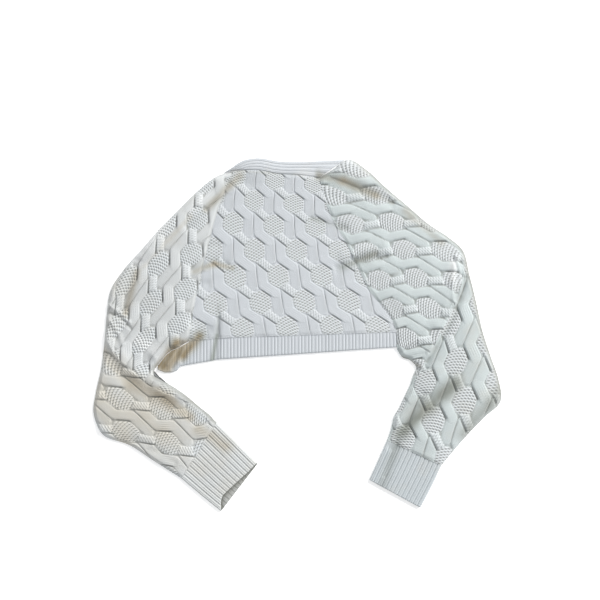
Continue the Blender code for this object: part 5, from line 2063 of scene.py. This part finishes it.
@dataclass
class HemBand(KnittedPiece):
    """The hem band: across the back, round both its ends and under to the open front."""

    steps_a_rib: int = 10
    end_steps: int = 60
    rows: int = 18
    inner_rows: int = 4

    def edge_y(self, stations: Floats, share: float) -> Floats:
        """Give the y of a line that runs along the band.

        Args:
            stations: The x of its points.
            share: How far down the band it lies, from 0 to 1.

        Returns:
            The y of its points.
        """
        x, upper_y, lower_y, _ = np.asarray(HEM, dtype=float).T
        seam = Curve(BACK_HEM).at(np.linspace(0.0, 1.0, HEM_POINTS))
        beside_back = (stations > seam[0, 0]) & (stations < seam[-1, 0])
        along_seam = np.interp(stations, seam[:, 0], seam[:, 1]) - BACK_GAP
        upper = np.where(beside_back, along_seam, np.interp(stations, x, upper_y) - SEAM)
        return upper + (np.interp(stations, x, lower_y) - upper) * share

    def line(self, stations: Floats, share: float, low: Floats, high: Floats) -> Floats:
        """Lay a line along the band, over the back and round both ends to the open front.

        Args:
            stations: The x of its points.
            share: How far down the band it lies, from 0 to 1.
            low: Heights for all of them, of which those under the garment are used.
            high: The heights of those over the back.

        Returns:
            The points.
        """
        left = low[:HEM_UNDER_STEPS]
        right = low[-HEM_UNDER_STEPS:]
        middle = (np.array((left[-1], right[0])) + high[[0, -1]]) / 2
        z = np.concatenate((left, middle[:1], high, middle[1:], right))
        end = smooth((stations - HEM_LEANS_FROM) / (HEM[-1][0] - HEM_LEANS_FROM))
        leant = stations + HEM_END_LEAN * share * end
        return np.stack((leant, self.edge_y(stations, share), z), axis=-1)

    def cloth(self) -> Cloth:
        """Build the band.

        Returns:
            The closed mesh.
        """
        cloth = Cloth()
        x, _, _, top = np.asarray(HEM, dtype=float).T
        first = x[0]
        last = x[-1]
        turn = WALL / 2
        plain = np.linspace(first, HEM_RIBS_FROM, self.end_steps // 2, endpoint=False)
        ribbed = np.linspace(HEM_RIBS_FROM, last, HEM_RIBS * self.steps_a_rib + 1)
        over = np.concatenate((plain, ribbed))
        left = np.linspace(-FRONT_OPENING, first, HEM_UNDER_STEPS)
        right = np.linspace(last, FRONT_OPENING, HEM_UNDER_STEPS)
        outer_x = np.concatenate((left, [first - turn], over, [last + turn], right))
        inner_x = np.clip(outer_x, first + turn, last - turn)
        seen = slice(HEM_UNDER_STEPS + 1, -HEM_UNDER_STEPS - 1)
        wales = (outer_x - HEM_RIBS_FROM) / ((last - HEM_RIBS_FROM) / HEM_RIBS)
        phase = 0.5 - 0.5 * np.cos(2.0 * math.pi * wales)
        ribs = phase[seen] * smooth((over - HEM_RIBS_FROM) / (HEM_RIBS_FULL - HEM_RIBS_FROM))
        part = np.linspace(0.0, 1.0, self.rows + 1)
        lines = []
        for share in part:
            folds = folds_at(np.stack((over, self.edge_y(over, share)), axis=-1))
            to_edge = np.full_like(over, (1.0 - share) * HEM_DEPTH)
            high = np.interp(over, x, top) + np.maximum(folds, -HEM_CREASE)
            high = high + HEM_RIB_RISE * ribs * np.interp(share, *HEM_RIB_LIFTS)
            high = high - HEM_EDGE * (1.0 - rounded(to_edge, HEM_EDGE))
            low = UNDER_RELIEF * (1.0 - phase) * smooth(min(share, 1.0 - share) * HEM_RIM)
            lines.append(self.line(outer_x, share, low, high))
        outer = np.stack(lines)
        inner = np.stack([
            self.line(inner_x, share, np.full_like(inner_x, WALL), np.full_like(over, UPPER_FLOOR))
            for share in np.linspace(0.0, 1.0, self.inner_rows + 1)
        ])
        rows = np.broadcast_to((part * HEM_DEPTH / ROW)[:, None], outer.shape[:2])
        counts = np.stack((np.broadcast_to(wales, rows.shape), rows), axis=-1)
        # Painted shade in the ribs' furrows and the creases, on the stretch over the back.
        groove = np.zeros(rows.shape)
        groove[:, seen] = groove_of(outer[..., 2])[:, seen]
        skin = cloth.add(outer[..., :2], outer[..., 2], groove)
        cloth.grid(skin, lambda _: grid_corners(counts))
        lining = cloth.add(inner[..., :2], inner[..., 2], PLAIN_SHADE)
        cloth.grid(lining)
        for edge in (0, -1):
            cloth.strip(skin[edge], lining[edge])
        for end in (0, -1):
            cloth.stitch(skin[:, end], lining[:, end])
        return cloth


# ---- the whole shrug ----
@dataclass
class Shrug:
    """The laid garment: its pieces, from the lowest layer up."""

    pieces: Sequence[KnittedPiece]

    def build(self, shift: Floats) -> None:
        """Build all the pieces.

        Args:
            shift: What brings the tables' places to the frame.
        """
        groups = Groups(stitch_group(), tone_group())
        for piece in self.pieces:
            piece.build(shift, groups)


def laid_shrug() -> Shrug:
    """List the pieces with their cuts, tones and lines.

    Returns:
        The shrug.
    """
    cable = Tone.CABLE.finish()
    return Shrug((
        Front("front_left", Cut(0.160, 0.300, 0.0327), cable,
              raglan=FRONT_LEFT[0], opening=FRONT_LEFT[1]),
        Front("front_right", Cut(0.152, 0.275, 0.0217), cable,
              raglan=FRONT_RIGHT[0], opening=FRONT_RIGHT[1]),
        Back("back_panel", Cut(0.395, 0.330, 0.0876), cable, ("front_left", "front_right")),
        Sleeve("sleeve_left", Cut(0.480, 0.700, 0.1522), Tone.CABLE_WARM.finish(),
               sections=SLEEVE_LEFT, raglan=RAGLAN_LEFT, hem_seam=HEM_SEAM_LEFT,
               stitches=LEFT_STITCHES),
        Sleeve("sleeve_right", Cut(0.560, 0.740, 0.1861), Tone.CABLE_COOL.finish(),
               sections=SLEEVE_RIGHT, raglan=RAGLAN_RIGHT, hem_seam=RAGLAN_RIGHT[-2:],
               stitches=RIGHT_STITCHES),
        Cuff("cuff_left", Cut(0.240, 0.105, 0.0235), Tone.RIB_WARM.finish(),
             sections=CUFF_LEFT, drawn=CUFF_LEFT_DRAWN, rows=84, columns=208,
             foot_rows=50, foot_columns=156, inside_rows=30, inside_columns=156),
        Cuff("cuff_right", Cut(0.226, 0.095, 0.0199), Tone.RIB_COOL.finish(),
             sections=CUFF_RIGHT, rows=76, columns=208,
             foot_rows=46, foot_columns=156, inside_rows=24, inside_columns=156),
        HemBand("hem_band", Cut(0.900, 0.040, 0.0305), Tone.RIB.finish()),
        NeckBand("neck_band", Cut(0.215, 0.030, 0.0057), Tone.RIB_NECK.finish()),
    ))


@dataclass
class Studio:
    """The pale floor, the soft lights and the camera over the garment."""

    middle: Corner = (6.65, 64.6)  # what the camera looks at, in the tables' millimetres
    height: float = 1.583  # the camera's height in metres
    lens: float = 50.0
    sensor: float = 36.0
    key_energy: float = 525.0
    key_size: float = 2.3
    key_place: tuple[float, float, float] = (4.1, 3.6, 3.5)
    sky: float = 0.59
    floor_size: float = 8.0
    floor_glow: float = 0.35

    def build(self, shift: Floats) -> None:
        """Set up the floor, the lights and the camera.

        Args:
            shift: What brings the tables' places to the frame.
        """
        middle = Vector(((self.middle[0] + shift[0]) * MM, (self.middle[1] + shift[1]) * MM, 0.0))
        self.lay_floor(middle)
        self.hang_lights(middle)
        camera = bpy.data.cameras.new("camera")
        camera.sensor_width = self.sensor
        camera.lens = self.lens
        holder = bpy.data.objects.new("camera", camera)
        holder.location = middle + Vector((0.0, 0.0, self.height))
        bpy.context.scene.collection.objects.link(holder)
        bpy.context.scene.camera = holder

    def lay_floor(self, middle: Vector) -> None:
        """Lay a pale floor just under the garment.

        Args:
            middle: The place under the camera.
        """
        bpy.ops.object.select_all(action="DESELECT")
        place = middle - Vector((0.0, 0.0, SURFACE_CLEARANCE * MM))
        bpy.ops.mesh.primitive_plane_add(size=self.floor_size, location=place)
        floor = bpy.context.object
        floor.name = "studio_floor"
        floor.data.materials.append(new_material("pale_floor", {
            "Base Color": (0.94, 0.94, 0.94, 1.0),
            "Roughness": 0.95,
            "Specular IOR Level": 0.1,
            "Emission Color": (1.0, 1.0, 1.0, 1.0),
            "Emission Strength": self.floor_glow,
        }))

    def hang_lights(self, middle: Vector) -> None:
        """Hang one soft light at the upper right, and light the rest evenly.

        Args:
            middle: The place that the light points at.
        """
        light = bpy.data.lights.new("key", "AREA")
        light.energy = self.key_energy
        light.size = self.key_size
        light.color = (1.0, 0.985, 0.96)
        holder = bpy.data.objects.new("key", light)
        holder.location = middle + Vector(self.key_place)
        holder.rotation_euler = Vector(self.key_place).to_track_quat("Z", "Y").to_euler()
        bpy.context.scene.collection.objects.link(holder)
        world = bpy.data.worlds.new("soft_sky")
        world.use_nodes = True
        background = world.node_tree.nodes["Background"]
        background.inputs["Color"].default_value = (0.97, 0.985, 1.0, 1.0)
        background.inputs["Strength"].default_value = self.sky
        bpy.context.scene.world = world
        bpy.context.scene.view_settings.view_transform = "Standard"


def garment_shift() -> Floats:
    """Work out what brings the tables' places to the frame, from where a front lies in it."""
    lowest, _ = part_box("front_left")
    corners = np.asarray(FRONT_LEFT[0] + FRONT_LEFT[1], dtype=float)
    return np.array((*(np.array((lowest.x, lowest.y)) / MM - corners.min(axis=0)), 0.0))


def main() -> None:
    """Build the shrug and the studio round it."""
    logging.basicConfig(level=logging.INFO, format="%(name)s: %(message)s")
    shift = garment_shift()
    LOG.info("shift from the tables to the frame: %s mm", np.round(shift, 2))
    laid_shrug().build(shift)
    Studio().build(shift)


if __name__ == "__main__":
    main()
